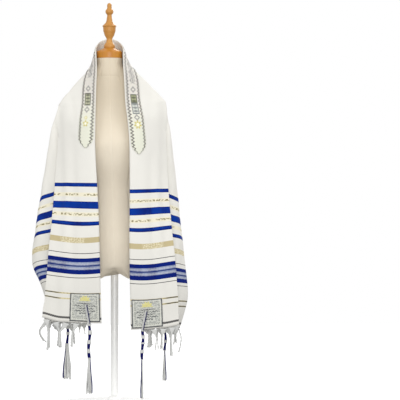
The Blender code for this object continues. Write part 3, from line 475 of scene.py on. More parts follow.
def makeShawl(material):
    shape = newShape()
    fullLength, shoulder = cloth["length"], cloth["shoulderAcross"]
    lines = halfLines(sides["left"]) + [fullLength - line for line in halfLines(sides["right"])[-2::-1]]
    bandEdge = band["inset"] + band["width"]
    inner = spread(0.0, bandEdge, cloth["bandColumns"])
    inner += spread(bandEdge, shoulder, cloth["panelColumns"])[1:]
    addGrid(shape, lines, inner, onCloth)
    low, high = tipAlong(sides["left"]) - 1e-9, fullLength - tipAlong(sides["right"]) + 1e-9
    tips = [line for line in lines if low <= line <= high]
    addGrid(shape, tips, spread(shoulder, cloth["width"], cloth["backRows"]), onBack)
    for name, side in sides.items():
        def sidePoint(row, share, name=name, side=side):
            along, across = sideFoldPlace(side, row, share)
            return onCloth(fromLeft(name, along), across)

        rows = range(cloth["hangRows"] + 1)
        addGrid(shape, rows[::-1] if name == "left" else rows, foldShares(side), sidePoint)
    bmesh.ops.remove_doubles(shape, verts=shape.verts, dist=cloth["weld"])
    unwrap(shape)
    return finishPiece("shawlCloth", shape, material, "shawl", wall=cloth["wall"])


# Neckband and corner patches, laid on the cloth from its own points
band = {
    "width": 0.054,
    "length": 0.766,
    "point": 0.030,
    "blunt": 1.6,
    "tipShare": 0.12,
    "inset": 0.003,
    "drift": 0.004,  # its ends lie this much further in from the neck edge
    "driftNone": 0.14,
    "cells": (8, 150, 12),  # along each point, between the points, across
}
trim = {"wall": 0.0012, "lift": 0.0006, "sideLift": 0.0003}
patch = {
    "across": 0.094,
    "along": 0.088,
    "inset": 0.004,
    "cells": 22,
    "facingAlong": 0.05,
    "rows": ((0.0250, 0.018), (0.0325, 0.032), (0.0400, 0.026), (0.0475, 0.034), (0.0550, 0.023)),
}
eyelet = {"along": 0.055, "across": 0.048}
corners = {  # end hem's place, the way in along, the way in across
    "front_left": (0.0, 1, 1),
    "side_left": (0.0, 1, -1),
    "front_right": (cloth["length"], -1, 1),
    "side_right": (cloth["length"], -1, -1),
}


def trimLift(across):
    extra = trim["sideLift"] if across > cloth["shoulderAcross"] else 0.0
    return cloth["wall"] / 2 + trim["lift"] + extra + trim["wall"] / 2


def makeBand(material):
    length, point = band["length"], band["point"]
    shape = newShape()

    def place(run, rise):
        fromEnd = max(min(run, length - run), 0.0)
        full = mix(band["tipShare"], 1, 1 - (1 - min(fromEnd / point, 1.0)) ** band["blunt"])
        drift = band["drift"] * (1 - softStep(fromEnd, 0.0, band["driftNone"]))
        across = band["inset"] + drift + band["width"] * (0.5 + (rise - 0.5) * full)
        along = halfLength - length / 2 + run
        return clothPoint(along, across, trimLift(across)), run, rise * band["width"]

    pointCells, middleCells, acrossCells = band["cells"]
    ends = spread(0.0, point, pointCells)
    columns = ends + spread(point, length - point, middleCells)[1:-1] + [length - run for run in ends[::-1]]
    addGrid(shape, columns, spread(0.0, 1.0, acrossCells), place)
    unwrap(shape)
    return finishPiece("neckbandTrim", shape, material, "neckband", wall=trim["wall"])


def pathLengths(points):
    lengths = [0.0]
    for before, after in zip(points, points[1:]):
        lengths.append(lengths[-1] + (after - before).length)
    return lengths


def hemLengths(along):  # length along an end hem from the neck edge, at even steps
    return pathLengths([drape(along, across) for across in spread(0.0, cloth["width"], 240)])


def acrossAt(lengths, length, way=1):  # counted from the neck edge, or from the long hem
    length = length if way > 0 else lengths[-1] - length
    index = rowBelow(lengths, length)
    share = (length - lengths[index]) / (lengths[index + 1] - lengths[index])
    return cloth["width"] * (index + share) / (len(lengths) - 1)


def makePatch(name, material):
    hem, alongWay, acrossWay = corners[name]
    shape = newShape()
    lengths = hemLengths(hem)

    def place(run, rise):
        across = acrossAt(lengths, patch["inset"] + rise, acrossWay)
        along = hem + alongWay * (patch["inset"] + run)
        return clothPoint(along, across, trimLift(across)), rise, run

    columns, rows = spread(0.0, patch["along"], patch["cells"]), spread(0.0, patch["across"], patch["cells"])
    addGrid(shape, columns, rows, place)
    bmesh.ops.recalc_face_normals(shape, faces=shape.faces)
    way = outward(hem + alongWay * patch["facingAlong"], acrossAt(lengths, patch["across"] / 2, acrossWay))
    if sum((face.normal for face in shape.faces), Vector()).dot(way) < 0:
        bmesh.ops.reverse_faces(shape, faces=shape.faces)
    unwrap(shape)
    return finishPiece(pieceName("patch", name), shape, material, "patch_" + name, wall=trim["wall"])


# Tubes for fringe and tassels: a grid rolled round a path of (point, width, depth), closed at both ends
def addTube(shape, path, sideWay, sideCount, turns=0.0, lobes=0.0, tone=0.0):
    toneLayer = shape.verts.layers.float.get("tone") or shape.verts.layers.float.new("tone")
    points, widths, depths = zip((path[0][0], 0.0, 0.0), *path, (path[-1][0], 0.0, 0.0))
    lengths = pathLengths(points)
    last = len(points) - 1

    def place(ring, step):
        ahead = (points[min(ring + 1, last)] - points[max(ring - 1, 0)]).normalized()
        side = (sideWay - ahead * sideWay.dot(ahead)).normalized()
        out = ahead.cross(side)
        angle = 2 * math.pi * step / sideCount
        swell = 1 - lobes * (0.5 - 0.5 * math.cos(2 * (angle - turns * lengths[ring] * 2 * math.pi)))
        reach = side * math.cos(angle) * widths[ring] + out * math.sin(angle) * depths[ring]
        return points[ring] + reach * swell, lengths[ring], step / sideCount

    for vertex in addGrid(shape, range(last + 1), range(sideCount + 1), place):
        vertex[toneLayer] = tone


fringe = {
    "strands": 23,
    "end": 0.002,
    "rootHalf": 0.0120,
    "rootDepth": 0.0009,
    "gather": 0.026,
    "reach": 0.030,  # no strand leans further than this
    "rings": 26,
    "sides": 12,
    "turns": 45,  # twists a metre
    "lobes": 0.30,
    "room": 0.0145,  # kept free beside a tassel
    "tucked": 0.0004,  # into the hem
    "sway": 0.005,
    "varies": 0.05,  # share of a strand's length
    "fray": 0.18,
    "flatness": 0.80,
    "hangsOver": (0.0, 0.3),  # shares of its length over which a strand turns down, leans and frays
    "leansOver": (0.02, 0.50),
    "fraysOver": (0.80, 0.96),
}
gathers = {  # bundles the strands draw into: x, height of their ends, half width, outward curl
    "left": [
        (-0.2198, 0.192, 0.0023, 0.014), (-0.2034, 0.174, 0.0034, 0.0), (-0.1708, 0.181, 0.0034, 0.0),
        (-0.1283, 0.184, 0.0032, 0.0), (-0.1082, 0.223, 0.0014, 0.0), (-0.0952, 0.214, 0.0016, 0.0)],
    "right": [
        (0.1097, 0.180, 0.0046, 0.0), (0.1314, 0.170, 0.0018, 0.0), (0.1476, 0.170, 0.0020, 0.0),
        (0.1739, 0.155, 0.0030, 0.0), (0.1879, 0.189, 0.0022, 0.0), (0.2049, 0.155, 0.0027, 0.004)],
}


def makeFringe(side, material):
    hem, inwardWay = (0.0, 1) if side == "left" else (cloth["length"], -1)
    lengths = hemLengths(hem)
    front = eyelet["across"] + tassels["front_" + side]["slide"]
    rear = lengths[-1] - eyelet["across"] + tassels["side_" + side]["slide"]
    shape = newShape()
    pitch = (lengths[-1] - 2 * fringe["end"]) / fringe["strands"]
    for number in range(fringe["strands"]):
        root = fringe["end"] + pitch * (number + 0.5)
        across = acrossAt(lengths, root)
        edge = clothPoint(hem, across)
        nearer = 1 + edge.y / stage["cameraDistance"]
        place, low, thick, curl = min(gathers[side], key=lambda row: abs(row[0] * nearer - edge.x))
        lean = Vector((place * nearer - edge.x, 0, 0))
        if min(abs(root - front), abs(root - rear)) < fringe["room"] or lean.length > fringe["reach"]:
            continue
        up = (clothPoint(hem + inwardWay * 0.01, across) - edge).normalized()
        ahead = clothPoint(hem, acrossAt(lengths, min(root + 0.004, lengths[-1]))) - edge
        sway = Vector((math.sin(number * 2.1), math.sin(number * 1.3 + 1), 0)) * fringe["sway"]
        curled = Vector((sides[side]["sign"] * curl, 0, 0))
        length = (edge.z - low) * (1 + fringe["varies"] * math.sin(number * 1.7))
        path = []
        for ring in range(1, fringe["rings"] + 1):
            share = ring / fringe["rings"]
            hangs = softStep(share, *fringe["hangsOver"])
            bend = curled * (math.sin(math.pi * share) - 0.35 * share)
            down = mix(-up * length * share, Vector((0, 0, -length * share)), hangs)
            leaning = lean * softStep(share, *fringe["leansOver"])
            gathered = softStep(length * share, 0.0, fringe["gather"])
            frayed = 1 + fringe["fray"] * softStep(share, *fringe["fraysOver"])
            width = mix(fringe["rootHalf"], thick, gathered)
            depth = mix(fringe["rootDepth"], thick * fringe["flatness"], gathered)
            point = edge - up * fringe["tucked"] + down + sway * share**1.5 + bend + leaning
            path.append((point, width * frayed, depth * frayed))
        addTube(shape, path, ahead.normalized(), fringe["sides"], fringe["turns"], fringe["lobes"])
    closeSeams(shape, cords["weld"])
    return finishPiece(pieceName("fringe", side), shape, material, "fringe_" + side, 80)


# slide: how far along the hem the head hangs from below its eyelet; dark: its blue strand's side;
# wound: the stretches of the head that blue cord covers, as shares from its top
tassels = {
    "front_left": {
        "head": 0.106, "hang": 0.106, "radius": 0.0050, "spread": 0.0082, "slide": -0.008, "dark": 1,
        "wound": ((0.05, 0.18), (0.30, 0.46), (0.57, 0.72), (0.83, 0.97))},
    "side_left": {
        "head": 0.062, "hang": 0.108, "radius": 0.0042, "spread": 0.0116, "slide": -0.006, "dark": -1,
        "wound": ((0.04, 0.12), (0.24, 0.40), (0.54, 0.98))},
    "front_right": {
        "head": 0.090, "hang": 0.118, "radius": 0.0047, "spread": 0.0036, "slide": -0.012, "dark": -1,
        "wound": ((0.03, 0.17), (0.28, 0.41), (0.46, 0.66), (0.77, 0.98))},
    "side_right": {
        "head": 0.064, "hang": 0.094, "radius": 0.0042, "spread": 0.0048, "slide": 0.004, "dark": 1,
        "wound": ((0.14, 0.50), (0.62, 0.98))},
}
cords = {
    "crown": 0.0030,
    "headStep": 0.0005,
    "headSides": 14,
    "headSway": (0.0020, 0.02),  # and the depth over which it comes in
    "knotSwell": 1.20,
    "windingSwell": 0.92,
    "coilPitch": 0.0021,
    "coilDepth": 0.12,
    "tails": 8,
    "tailRings": 18,
    "tailSway": 0.0012,
    "tailVaries": 0.04,
    "tailClosed": 0.30,  # how far apart the strands start, as a share of their spread
    "tailTucked": 0.002,
    "tailTwist": (8, 95, 0.22),  # sides, twists a metre, lobes
    "loopTwist": (8, 120, 0.20),
    "loopRadius": 0.0014,
    "loopSeat": 0.0015,
    "loopFree": 0.0003,
    "loopLift": 0.0006,
    "loopTurn": 0.004,
    "blueRadius": 0.0021,
    "weld": 0.00002,
}


def woundShare(wound, share):  # 1 on the blue windings, 0 on the white knots between them
    soft = 0.008
    return max(window(share, low - soft, low + soft, high - soft, high + soft) for low, high in wound)


def addHead(shape, top, size, sideWay):
    rings = int(size["head"] / cords["headStep"])
    sway, swayIn = cords["headSway"]
    path = []
    for ring in range(rings + 1):
        depth = size["head"] * ring / rings
        swell = mix(cords["knotSwell"], cords["windingSwell"], woundShare(size["wound"], ring / rings))
        swell *= 1 + 0.10 * math.sin(depth * 190 + size["slide"] * 500)
        swell *= 1 + cords["coilDepth"] * (abs(math.sin(math.pi * depth / cords["coilPitch"])) - 0.6)
        swayed = sway * math.sin(depth * 62) * softStep(depth, 0.0, swayIn)
        path.append((top + Vector((swayed, 0, -depth)), size["radius"] * swell, size["radius"] * swell))
    addTube(shape, path, sideWay, cords["headSides"])
    kind = shape.verts.layers.float["tone"]
    for vertex in shape.verts:
        vertex[kind] = woundShare(size["wound"], (top.z - vertex.co.z) / size["head"])
    return path[-1][0]


def addTails(shape, low, size, out):  # the first is the blue one, the last hangs in the middle
    spread, last = size["spread"], cords["tails"] - 1
    for number in range(cords["tails"]):
        angle = 2 * math.pi * number / last
        spoke = Vector((math.cos(angle) * size["dark"], math.sin(angle) * 0.8, 0)) * spread
        if number == 0:
            spoke.y = -spread * 0.9
        if number == last:
            spoke = Vector((0, 0, 0))
        radius = spread * 0.30 + 0.0006 if number else cords["blueRadius"]
        length = size["hang"] * (1 + cords["tailVaries"] * math.sin(number * 1.9))
        wobble = Vector((math.sin(number * 4.1), math.sin(number * 2.3), 0)) * cords["tailSway"]
        path = []
        for ring in range(cords["tailRings"] + 1):
            share = ring / cords["tailRings"]
            opened = mix(cords["tailClosed"], 1, softStep(share, 0.0, 0.90))
            swayed = spoke * opened + wobble * math.sin(share * 5 + number) * share
            width = radius * (0.75 + 0.25 * opened) * (1 + 0.08 * math.sin(share * 9 + number))
            width *= 1 if share < 0.97 else 0.7
            down = Vector((0, 0, cords["tailTucked"] - length * share))
            path.append((low + down + swayed, width, width))
        addTube(shape, path, out, *cords["tailTwist"], 0.0 if number else 1.0)


def makeTassel(name, material):
    hemAlong, alongWay, acrossWay = corners[name]
    size, radius = tassels[name], cords["loopRadius"]
    along = hemAlong + alongWay * eyelet["along"]
    across = acrossAt(hemLengths(hemAlong), eyelet["across"], acrossWay)
    hole, normal = clothPoint(along, across), outward(along, across)
    hem = clothPoint(hemAlong, across + size["slide"])
    top = hem - Vector((0, 0, cords["crown"]))
    out = Vector((normal.x, normal.y, 0)).normalized()
    shape = newShape()
    low = addHead(shape, top, size, Vector((out.y, -out.x, 0)))
    addTails(shape, low, size, out)
    down = (hem - hole).normalized()
    level = normal.cross(down).normalized()
    behind = cloth["wall"] / 2 + radius + cords["loopFree"]
    before = behind + trimLift(across) + trim["wall"] / 2 - cloth["wall"] / 2
    lift, loopTurn = cords["loopLift"], cords["loopTurn"]
    root, turned = top - Vector((0, 0, loopTurn)), hem - Vector((0, 0, loopTurn / 4))
    under, seat = hole + down * loopTurn, hole + down * cords["loopSeat"]
    for number in (-1, 0, 1):  # three cords side by side, up the front, through the eyelet and down behind
        beside = level * number * radius * 2.05
        points = [place + off + beside * share for place, off, share in (
            (root, out * 0, 0.6),
            (top, out * before * 0.5, 0.8),
            (turned, out * before, 0.9),
            (hem.lerp(hole, 0.35), normal * (before + lift), 1),
            (hem.lerp(hole, 0.75), normal * (before + lift), 1),
            (under, normal * (before + 0.0008), 1),
            (seat, normal * before * 0.5, 1),
            (seat, normal * behind * -0.5, 1),
            (under, normal * -(behind + 0.0008), 1),
            (hem.lerp(hole, 0.60), normal * -(behind + lift), 1),
            (turned, out * -behind, 0.9),
            (top, out * behind * -0.5, 0.8),
            (root, out * 0, 0.6))]
        path = [(point, radius, radius) for point in smoothPath(points, 6)]
        addTube(shape, path, level, *cords["loopTwist"], 1.0 if number == 1 else 0.0)
    closeSeams(shape, cords["weld"])
    return finishPiece(pieceName("tassel", name), shape, material, "tassel_" + name, 80)


def smoothPath(points, steps):  # a soft curve through the points
    curve = []
    for index in range(len(points) - 1):
        before, low = points[max(index - 1, 0)], points[index]
        high, after = points[index + 1], points[min(index + 2, len(points) - 1)]
        slopes = (high - before) / 2, (after - low) / 2
        curve += [cubic(step / steps, low, high, *slopes) for step in range(steps)]
    return curve + [points[-1]]


# Dress form: (height, half width, front, back), with seams sewn into its cover
form = {
    "sections": [
        (1.0680, 0.0400, 0.0400, 0.0420), (1.045, 0.0410, 0.0410, 0.0430), (1.022, 0.0590, 0.0420, 0.0500),
        (0.990, 0.0920, 0.0440, 0.0600), (0.952, 0.1270, 0.0460, 0.0680), (0.932, 0.1440, 0.0490, 0.0710),
        (0.912, 0.1510, 0.0550, 0.0740), (0.880, 0.1490, 0.0690, 0.0780), (0.840, 0.1440, 0.0890, 0.0800),
        (0.800, 0.1350, 0.1000, 0.0790), (0.750, 0.1180, 0.0920, 0.0740), (0.700, 0.0960, 0.0760, 0.0660),
        (0.665, 0.0870, 0.0700, 0.0640), (0.620, 0.0930, 0.0740, 0.0730), (0.560, 0.1070, 0.0820, 0.0880),
        (0.505, 0.1150, 0.0860, 0.0960), (0.460, 0.1130, 0.0840, 0.0930), (0.425, 0.1050, 0.0780, 0.0840),
        (0.402, 0.0900, 0.0660, 0.0700), (0.388, 0.0660, 0.0480, 0.0500), (0.384, 0.0360, 0.0260, 0.0270)],
    "lowRings": 22,
    "rings": 130,
    "sides": 72,
    "patternRadius": 0.11,  # turns degrees round into metres of cloth
    "weld": 0.00003,
    "taper": 0.35,  # how much the shoulder sections narrow to their ends
    "taperHeights": (0.86, 0.93, 1.00, 1.04),
    "straightBelow": 0.45,
    "archRise": 0.026,
    "archHalf": 0.042,
    "archTop": 0.43,
    "seams": (-90, -58, -122, 90, 62, 118, 0, 180),  # degrees round, -90 is the middle of the front
    "seamHalf": 1.3,
    "seamStep": 0.9,
    "seamDepth": 0.0009,
    "neckSeam": 1.012,
    "neckSeamHalf": 0.0016,
    "neckSeamStep": 0.0012,
}


def formPoint(height, degrees):
    halfWidth, front, back = readTable(form["sections"], height)
    cosine, sine = math.cos(math.radians(degrees)), math.sin(math.radians(degrees))
    groove = math.exp(-((height - form["neckSeam"]) / form["neckSeamHalf"]) ** 2)
    for seam in form["seams"]:
        off = abs((degrees - seam + 180) % 360 - 180)
        if off < form["seamHalf"] * 3:
            groove += math.exp(-(off / form["seamHalf"] * 1.6) ** 2)
    groove *= form["seamDepth"]
    power = 1 + form["taper"] * window(height, *form["taperHeights"])
    x = (halfWidth - groove) * math.copysign(abs(cosine) ** power, cosine)
    y = ((back if sine > 0 else front) - groove) * math.copysign(abs(sine) ** power, sine)
    bottom, top = form["sections"][-1][0], form["sections"][0][0]
    low = 1 - softStep(height, bottom, form["archTop"])
    arch = form["archRise"] * low * max(0.0, 1 - (abs(x) / form["archHalf"]) ** 1.3)
    share = min(max((height - form["straightBelow"]) / (top - form["straightBelow"]), 0.0), 1.0)
    return Vector((x + cloth["neckCentreX"] * share, y, height + arch))


def makeForm(material):
    bottom, top, besides = form["sections"][-1][0], form["sections"][0][0], (-2, -1, 0, 1, 2)
    heights = sorted(
        spread(bottom, form["archTop"], form["lowRings"]) + spread(form["archTop"], top, form["rings"])[1:]
        + [form["neckSeam"] + step * form["neckSeamStep"] for step in besides])
    seamLines = [seam + step * form["seamStep"] for seam in form["seams"] for step in besides]
    degrees = sorted(set(
        [round(-180 + 360 * step / form["sides"], 3) for step in range(form["sides"])]
        + [((line + 180) % 360) - 180 for line in seamLines]))
    degrees = [turn for index, turn in enumerate(degrees) if index == 0 or turn - degrees[index - 1] > 0.4]
    degrees.append(degrees[0] + 360)
    shape = newShape()

    def place(height, turn):
        return formPoint(height, turn), math.radians(turn) * form["patternRadius"], height

    addGrid(shape, heights, degrees, place)
    closeSeams(shape, form["weld"])
    rim = [edge for edge in shape.edges if edge.is_boundary]
    for atTop in (False, True):
        geom = [edge for edge in rim if (edge.verts[0].co.z > 0.5) == atTop]
        bmesh.ops.contextual_create(shape, geom=geom)
    bmesh.ops.recalc_face_normals(shape, faces=shape.faces)
    return finishPiece("formCover", shape, material, "dress_form", 50)


# Turned pieces: (radius, height) from the foot up
cap = {
    "profile": [
        (0.0403, 0.0), (0.0403, 0.0172), (0.0400, 0.0190), (0.0385, 0.0210), (0.0276, 0.0260),
        (0.0205, 0.0292), (0.0172, 0.0315)],
    "foot": 1.0683, "steps": 1, "sides": 96, "sharp": 35}
finial = {
    "profile": [
        (0.0160, 0.0000), (0.0172, 0.0050), (0.0158, 0.0097), (0.0125, 0.0144), (0.0099, 0.0190),
        (0.0088, 0.0240), (0.0090, 0.0283), (0.0104, 0.0312), (0.0148, 0.0392), (0.0167, 0.0454),
        (0.0189, 0.0525), (0.0195, 0.0624), (0.0201, 0.0655), (0.0222, 0.0677), (0.0194, 0.0705),
        (0.0127, 0.0770), (0.0093, 0.0841), (0.0084, 0.0903), (0.0070, 0.1008), (0.0084, 0.1040),
        (0.0112, 0.1074), (0.0124, 0.1120), (0.0112, 0.1172), (0.0080, 0.1209), (0.0070, 0.1244),
        (0.0071, 0.1322), (0.0058, 0.1362), (0.0022, 0.1392)],
    "foot": 1.1001, "steps": 4, "sides": 96, "sharp": 50}
pole = {
    "profile": [
        (0.0218, 0.0), (0.0218, 0.0105), (0.0210, 0.012), (0.0125, 0.0162), (0.0115, 0.0180),
        (0.0115, 0.4377)],
    "foot": 0.0073, "steps": 1, "sides": 96, "sharp": 35}
base = {
    "profile": [(0.1640, 0.0), (0.1650, 0.0010), (0.1650, 0.0050), (0.1644, 0.0064), (0.1630, 0.0070)],
    "foot": 0.0, "steps": 1, "sides": 160, "sharp": 35}
turnedWeld = 0.00001


def turn(name, piece, x, material, slot, node):
    points = smoothPath([Vector((radius, 0, height)) for radius, height in piece["profile"]], piece["steps"])
    shape = newShape()
    rows = [Vector((0, 0, points[0].z)), *points, Vector((0, 0, points[-1].z))]
    chain = [shape.verts.new(row) for row in rows]
    edges = [shape.edges.new(pair) for pair in zip(chain, chain[1:])]
    bmesh.ops.spin(
        shape, geom=chain + edges, cent=(0, 0, 0), axis=(0, 0, 1), angle=math.radians(360),
        steps=piece["sides"], use_merge=True)
    bmesh.ops.remove_doubles(shape, verts=shape.verts, dist=turnedWeld)
    bmesh.ops.recalc_face_normals(shape, faces=shape.faces)
    bmesh.ops.translate(shape, verts=shape.verts, vec=(x, 0, piece["foot"]))
    return finishPiece(name, shape, material, node, piece["sharp"])


# Shader building blocks: a signal is a value that changes over the surface
class Signal:
    def __init__(self, tree, socket):
        self.tree = tree
        self.socket = socket

    def __add__(self, other):
        return calc("ADD", self, other)

    def __sub__(self, other):
        return calc("SUBTRACT", self, other)

    def __rsub__(self, other):
        return calc("SUBTRACT", other, self)

    def __mul__(self, other):
        return calc("MULTIPLY", self, other)

    def __truediv__(self, other):
        return calc("DIVIDE", self, other)

    def __pow__(self, other):
        return calc("POWER", self, other)

    def __abs__(self):
        return calc("ABSOLUTE", self)

    def clamped(self):  # held between 0 and 1
        self.socket.node.use_clamp = True
        return self

    def steep(self, slope):  # 0 up to zero, then climbing to 1
        return (self * slope).clamped()


def feed(tree, socket, value):
    if isinstance(value, Signal):
        tree.links.new(value.socket, socket)
    else:
        socket.default_value = value


def addNode(tree, kind, inputs, output=0, **settings):
    node = tree.nodes.new("ShaderNode" + kind)
    for label, value in settings.items():
        setattr(node, label, value)
    for label, value in inputs.items():
        feed(tree, node.inputs[label], value)
    return Signal(tree, node.outputs[output])


def calc(operation, *values):
    tree = next(value.tree for value in values if isinstance(value, Signal))
    return addNode(tree, "Math", dict(enumerate(values)), operation=operation)


def split(vector, kind="XYZ"):
    first = addNode(vector.tree, "Separate" + kind, {0: vector})
    return [Signal(vector.tree, output) for output in first.socket.node.outputs]


def polar(x, y):
    return calc("SQRT", x * x + y * y), calc("ARCTAN2", y, x)


def lay(colour, *layers):  # each layer is a paint and the masks that let it show
    for paint, mask, *others in layers:
        for other in others:
            mask = mask * other
        under, over = colours.get(colour, colour), colours.get(paint, paint)
        colour = addNode(mask.tree, "Mix", {0: mask, 6: under, 7: over}, 2, data_type="RGBA")
    return colour


# Effects that several materials share: each formula becomes a node group, with its inputs' defaults
def shareEffect(formula, **inputs):  # gives the function that places the group in a material
    group = bpy.data.node_groups.new(formula.__name__, "ShaderNodeTree")
    for label, default in inputs.items():
        kind = "NodeSocketVector" if isinstance(default, tuple) else "NodeSocketFloat"
        group.interface.new_socket(label, in_out="INPUT", socket_type=kind).default_value = default
    group.interface.new_socket("Mask", in_out="OUTPUT", socket_type="NodeSocketFloat")
    given = group.nodes.new("NodeGroupInput").outputs
    result = formula(*[Signal(group, given[label]) for label in inputs])
    feed(group, group.nodes.new("NodeGroupOutput").inputs["Mask"], result)

    def place(*values):
        return addNode(values[0].tree, "Group", dict(enumerate(values)), node_tree=group)

    return place


def softNoise(vector, scale, detail, stretch):
    mapped = addNode(vector.tree, "Mapping", {"Vector": vector, "Scale": stretch})
    return addNode(vector.tree, "TexNoise", {"Vector": mapped, "Scale": scale, "Detail": detail}, "Fac")


def lineMask(value, centre, half, soft):
    return ((half - abs(value - centre)) / soft + 0.5).clamped()


def lozengeMask(run, rise, pitch, half):
    return (1.0 - (abs(calc("FRACT", run / pitch) - 0.5) * 2.3 + abs(rise) / half)).steep(5.0)


def zigzagMask(run, rise, pitch, height, half):
    peak = abs(calc("FRACT", run / pitch) - 0.5) * 4.0 - 1.0
    return ((half - abs(rise - peak * height)) / 0.0004 + 0.5).clamped()


def weaveHeight(vector, pitch):
    warp, weft = [part / pitch * (2 * math.pi) for part in split(vector)[:2]]
    return calc("SINE", warp) * calc("SINE", weft + warp * 0.5)


grain = shareEffect(softNoise, Vector=(0, 0, 0), Scale=5.0, Detail=2.0, Stretch=(1, 1, 1))
line = shareEffect(lineMask, Value=0.0, Centre=0.0, Half=0.0, Soft=0.0006)
lozenge = shareEffect(lozengeMask, Run=0.0, Rise=0.0, Pitch=0.01, Half=0.01)
zigzag = shareEffect(zigzagMask, Run=0.0, Rise=0.0, Pitch=0.01, Height=0.001, Half=0.001)
weave = shareEffect(weaveHeight, Vector=(0, 0, 0), Pitch=0.001)


def fromEdge(value, span):  # distance from the nearer of two edges
    return calc("MINIMUM", value, span - value)


def newMaterial(name, roughness, sheen=0.0, coat=0.0, gloss=0.5):
    material = bpy.data.materials.new(name)
    material.use_nodes = True
    inputs = material.node_tree.nodes["Principled BSDF"].inputs
    for label, value in (("Roughness", roughness), ("Sheen Weight", sheen), ("Specular IOR Level", gloss),
                         ("Coat Weight", coat), ("Coat Roughness", 0.12)):
        inputs[label].default_value = value
    return material, material.node_tree


def patternPlace(tree):
    vector = addNode(tree, "UVMap", {}, uv_map="pattern")
    return vector, *split(vector)[:2]


def objectPlace(tree):
    return addNode(tree, "TexCoord", {}, "Object")


def finishMaterial(material, colour, height, strength, distance=0.0002):
    tree = material.node_tree
    inputs = tree.nodes["Principled BSDF"].inputs
    feed(tree, inputs["Base Color"], colour)
    feed(tree, inputs["Normal"], addNode(
        tree, "Bump", {"Strength": strength, "Distance": distance, "Height": height}))
    return material


def roughen(material, roughness):
    feed(material.node_tree, material.node_tree.nodes["Principled BSDF"].inputs["Roughness"], roughness)


def tint(red, green, blue):  # a screen colour, 0 to 255, as Blender's linear colour
    return tuple(((part / 255 + 0.055) / 1.055) ** 2.4 if part > 10 else part / 255 / 12.92
                 for part in (red, green, blue)) + (1.0,)


colours = {name: tint(*screen) for name, screen in {
    "white": (231, 229, 222), "warmWhite": (240, 232, 202), "blue": (0, 52, 148), "navy": (4, 16, 96),
    "paleBlue": (142, 154, 186), "midBlue": (40, 58, 118), "line": (36, 32, 42),
    "grey": (118, 115, 114), "deepBlue": (0, 30, 118), "darkGrey": (70, 70, 68),
    "olive": (134, 124, 84), "gold": (196, 182, 142), "paleGold": (222, 208, 158),
    "brightGold": (220, 198, 100), "flame": (238, 104, 40), "band": (230, 226, 218),
    "bandEnd": (234, 235, 218), "bandShadow": (150, 143, 132), "bandRope": (92, 87, 84),
    "petal": (206, 194, 104), "petalHeart": (246, 246, 226), "patch": (164, 166, 161),
    "patchLight": (204, 205, 196), "patchRim": (72, 74, 78), "patchStrip": (214, 214, 204),
    "patchDash": (96, 98, 90), "ink": (40, 42, 54), "fan": (216, 208, 124), "cord": (186, 187, 185),
    "cordLight": (216, 216, 213), "cordNavy": (4, 4, 58), "cordBlue": (14, 18, 104),
    "linen": (240, 230, 211), "linenShade": (232, 220, 200), "slub": (218, 206, 185),
    # the next row starts with the painted shade laid on the form from the chest up
    "paintedUpperShade": (206, 192, 168), "seam": (240, 232, 216), "amberWood": (206, 144, 46),
    "amberGrain": (178, 110, 22), "paleWood": (208, 154, 78), "paleGrain": (184, 124, 50),
    "steelPaint": (240, 240, 238), "steelSpeck": (248, 248, 246), "floor": (120, 120, 120),
}.items()}

# Woven pattern: places are metres from the end hem
stripes = [  # place, width, colour
    (0.1405, 0.0036, "line"), (0.1578, 0.0122, "deepBlue"), (0.1697, 0.0108, "paleBlue"),
    (0.1771, 0.0040, "midBlue"), (0.1840, 0.0098, "paleBlue"), (0.1950, 0.0122, "deepBlue"),
    (0.2148, 0.0036, "line"), (0.3040, 0.0112, "blue"), (0.3574, 0.0216, "blue"), (0.4188, 0.0114, "blue")]
figures = {"threads": (0.1697, 0.1840), "wideBand": 0.256, "paleStrips": (0.331, 0.390), "rope": 0.0140,
           "lowStrips": (0.0725, 0.0905), "stitch": 0.006}
medallion = {"across": 0.236, "alongHalf": 0.217, "acrossHalf": 0.171, "petals": 8}


def stripeRamp(fromHem):
    scale, shaded = 2.0, 0.005  # the ramp spans half a metre; blue stripes are deeper at both sides
    stops = [(0.0, "white")]
    for centre, width, name in stripes:
        low, high = (centre - width / 2) * scale, (centre + width / 2) * scale
        if abs(stops[-1][0] - low) < 0.0015:
            stops.pop()
        if name == "blue":
            stops += [(low, "deepBlue"), (low + shaded, name), (high - shaded, "deepBlue")]
        else:
            stops.append((low, name))
        stops.append((high, "white"))
    colour = addNode(fromHem.tree, "ValToRGB", {0: fromHem * scale})
    ramp = colour.socket.node.color_ramp
    ramp.interpolation = "CONSTANT"
    elements = ramp.elements
    elements.remove(elements[1])
    for index, (place, name) in enumerate(stops):
        element = elements[0] if index == 0 else elements.new(place)
        element.position, element.color = place, colours[name]
    return colour


def addMedallion(along, across, colour):  # a petalled rosette with leaf sprays and buds
    radius, angle = polar((along - halfLength) / medallion["alongHalf"],
                          (medallion["across"] - across) / medallion["acrossHalf"])
    turned = angle * (medallion["petals"] / 2)
    wave, between = abs(calc("COSINE", turned)), abs(calc("SINE", turned))
    heart = abs(calc("COSINE", angle * 6.0))

    def ring(low, high):
        return line(radius, (low + high) / 2, (high - low) / 2, 0.012)

    def within(edge):  # inside a rim that changes round the rosette
        return (edge - radius).steep(70.0)

    return lay(
        colour,
        ("blue", within(wave**0.7 * 0.50 + 0.44)),
        ("white", within(wave**5.0 * 0.42 + 0.28), ring(0.50, 0.68)),
        ("gold", ring(0.34, 0.38)),
        ("white", within(0.31)),
        ("gold", within(heart * 0.17 + 0.12)),
        ("navy", within(0.11)),
        ("brightGold", within(0.05)),
        ("gold", within(between**14.0 * 0.86), ring(0.50, 0.86)),
        ("flame", within(between**30.0 * 1.04), ring(0.86, 1.02)))


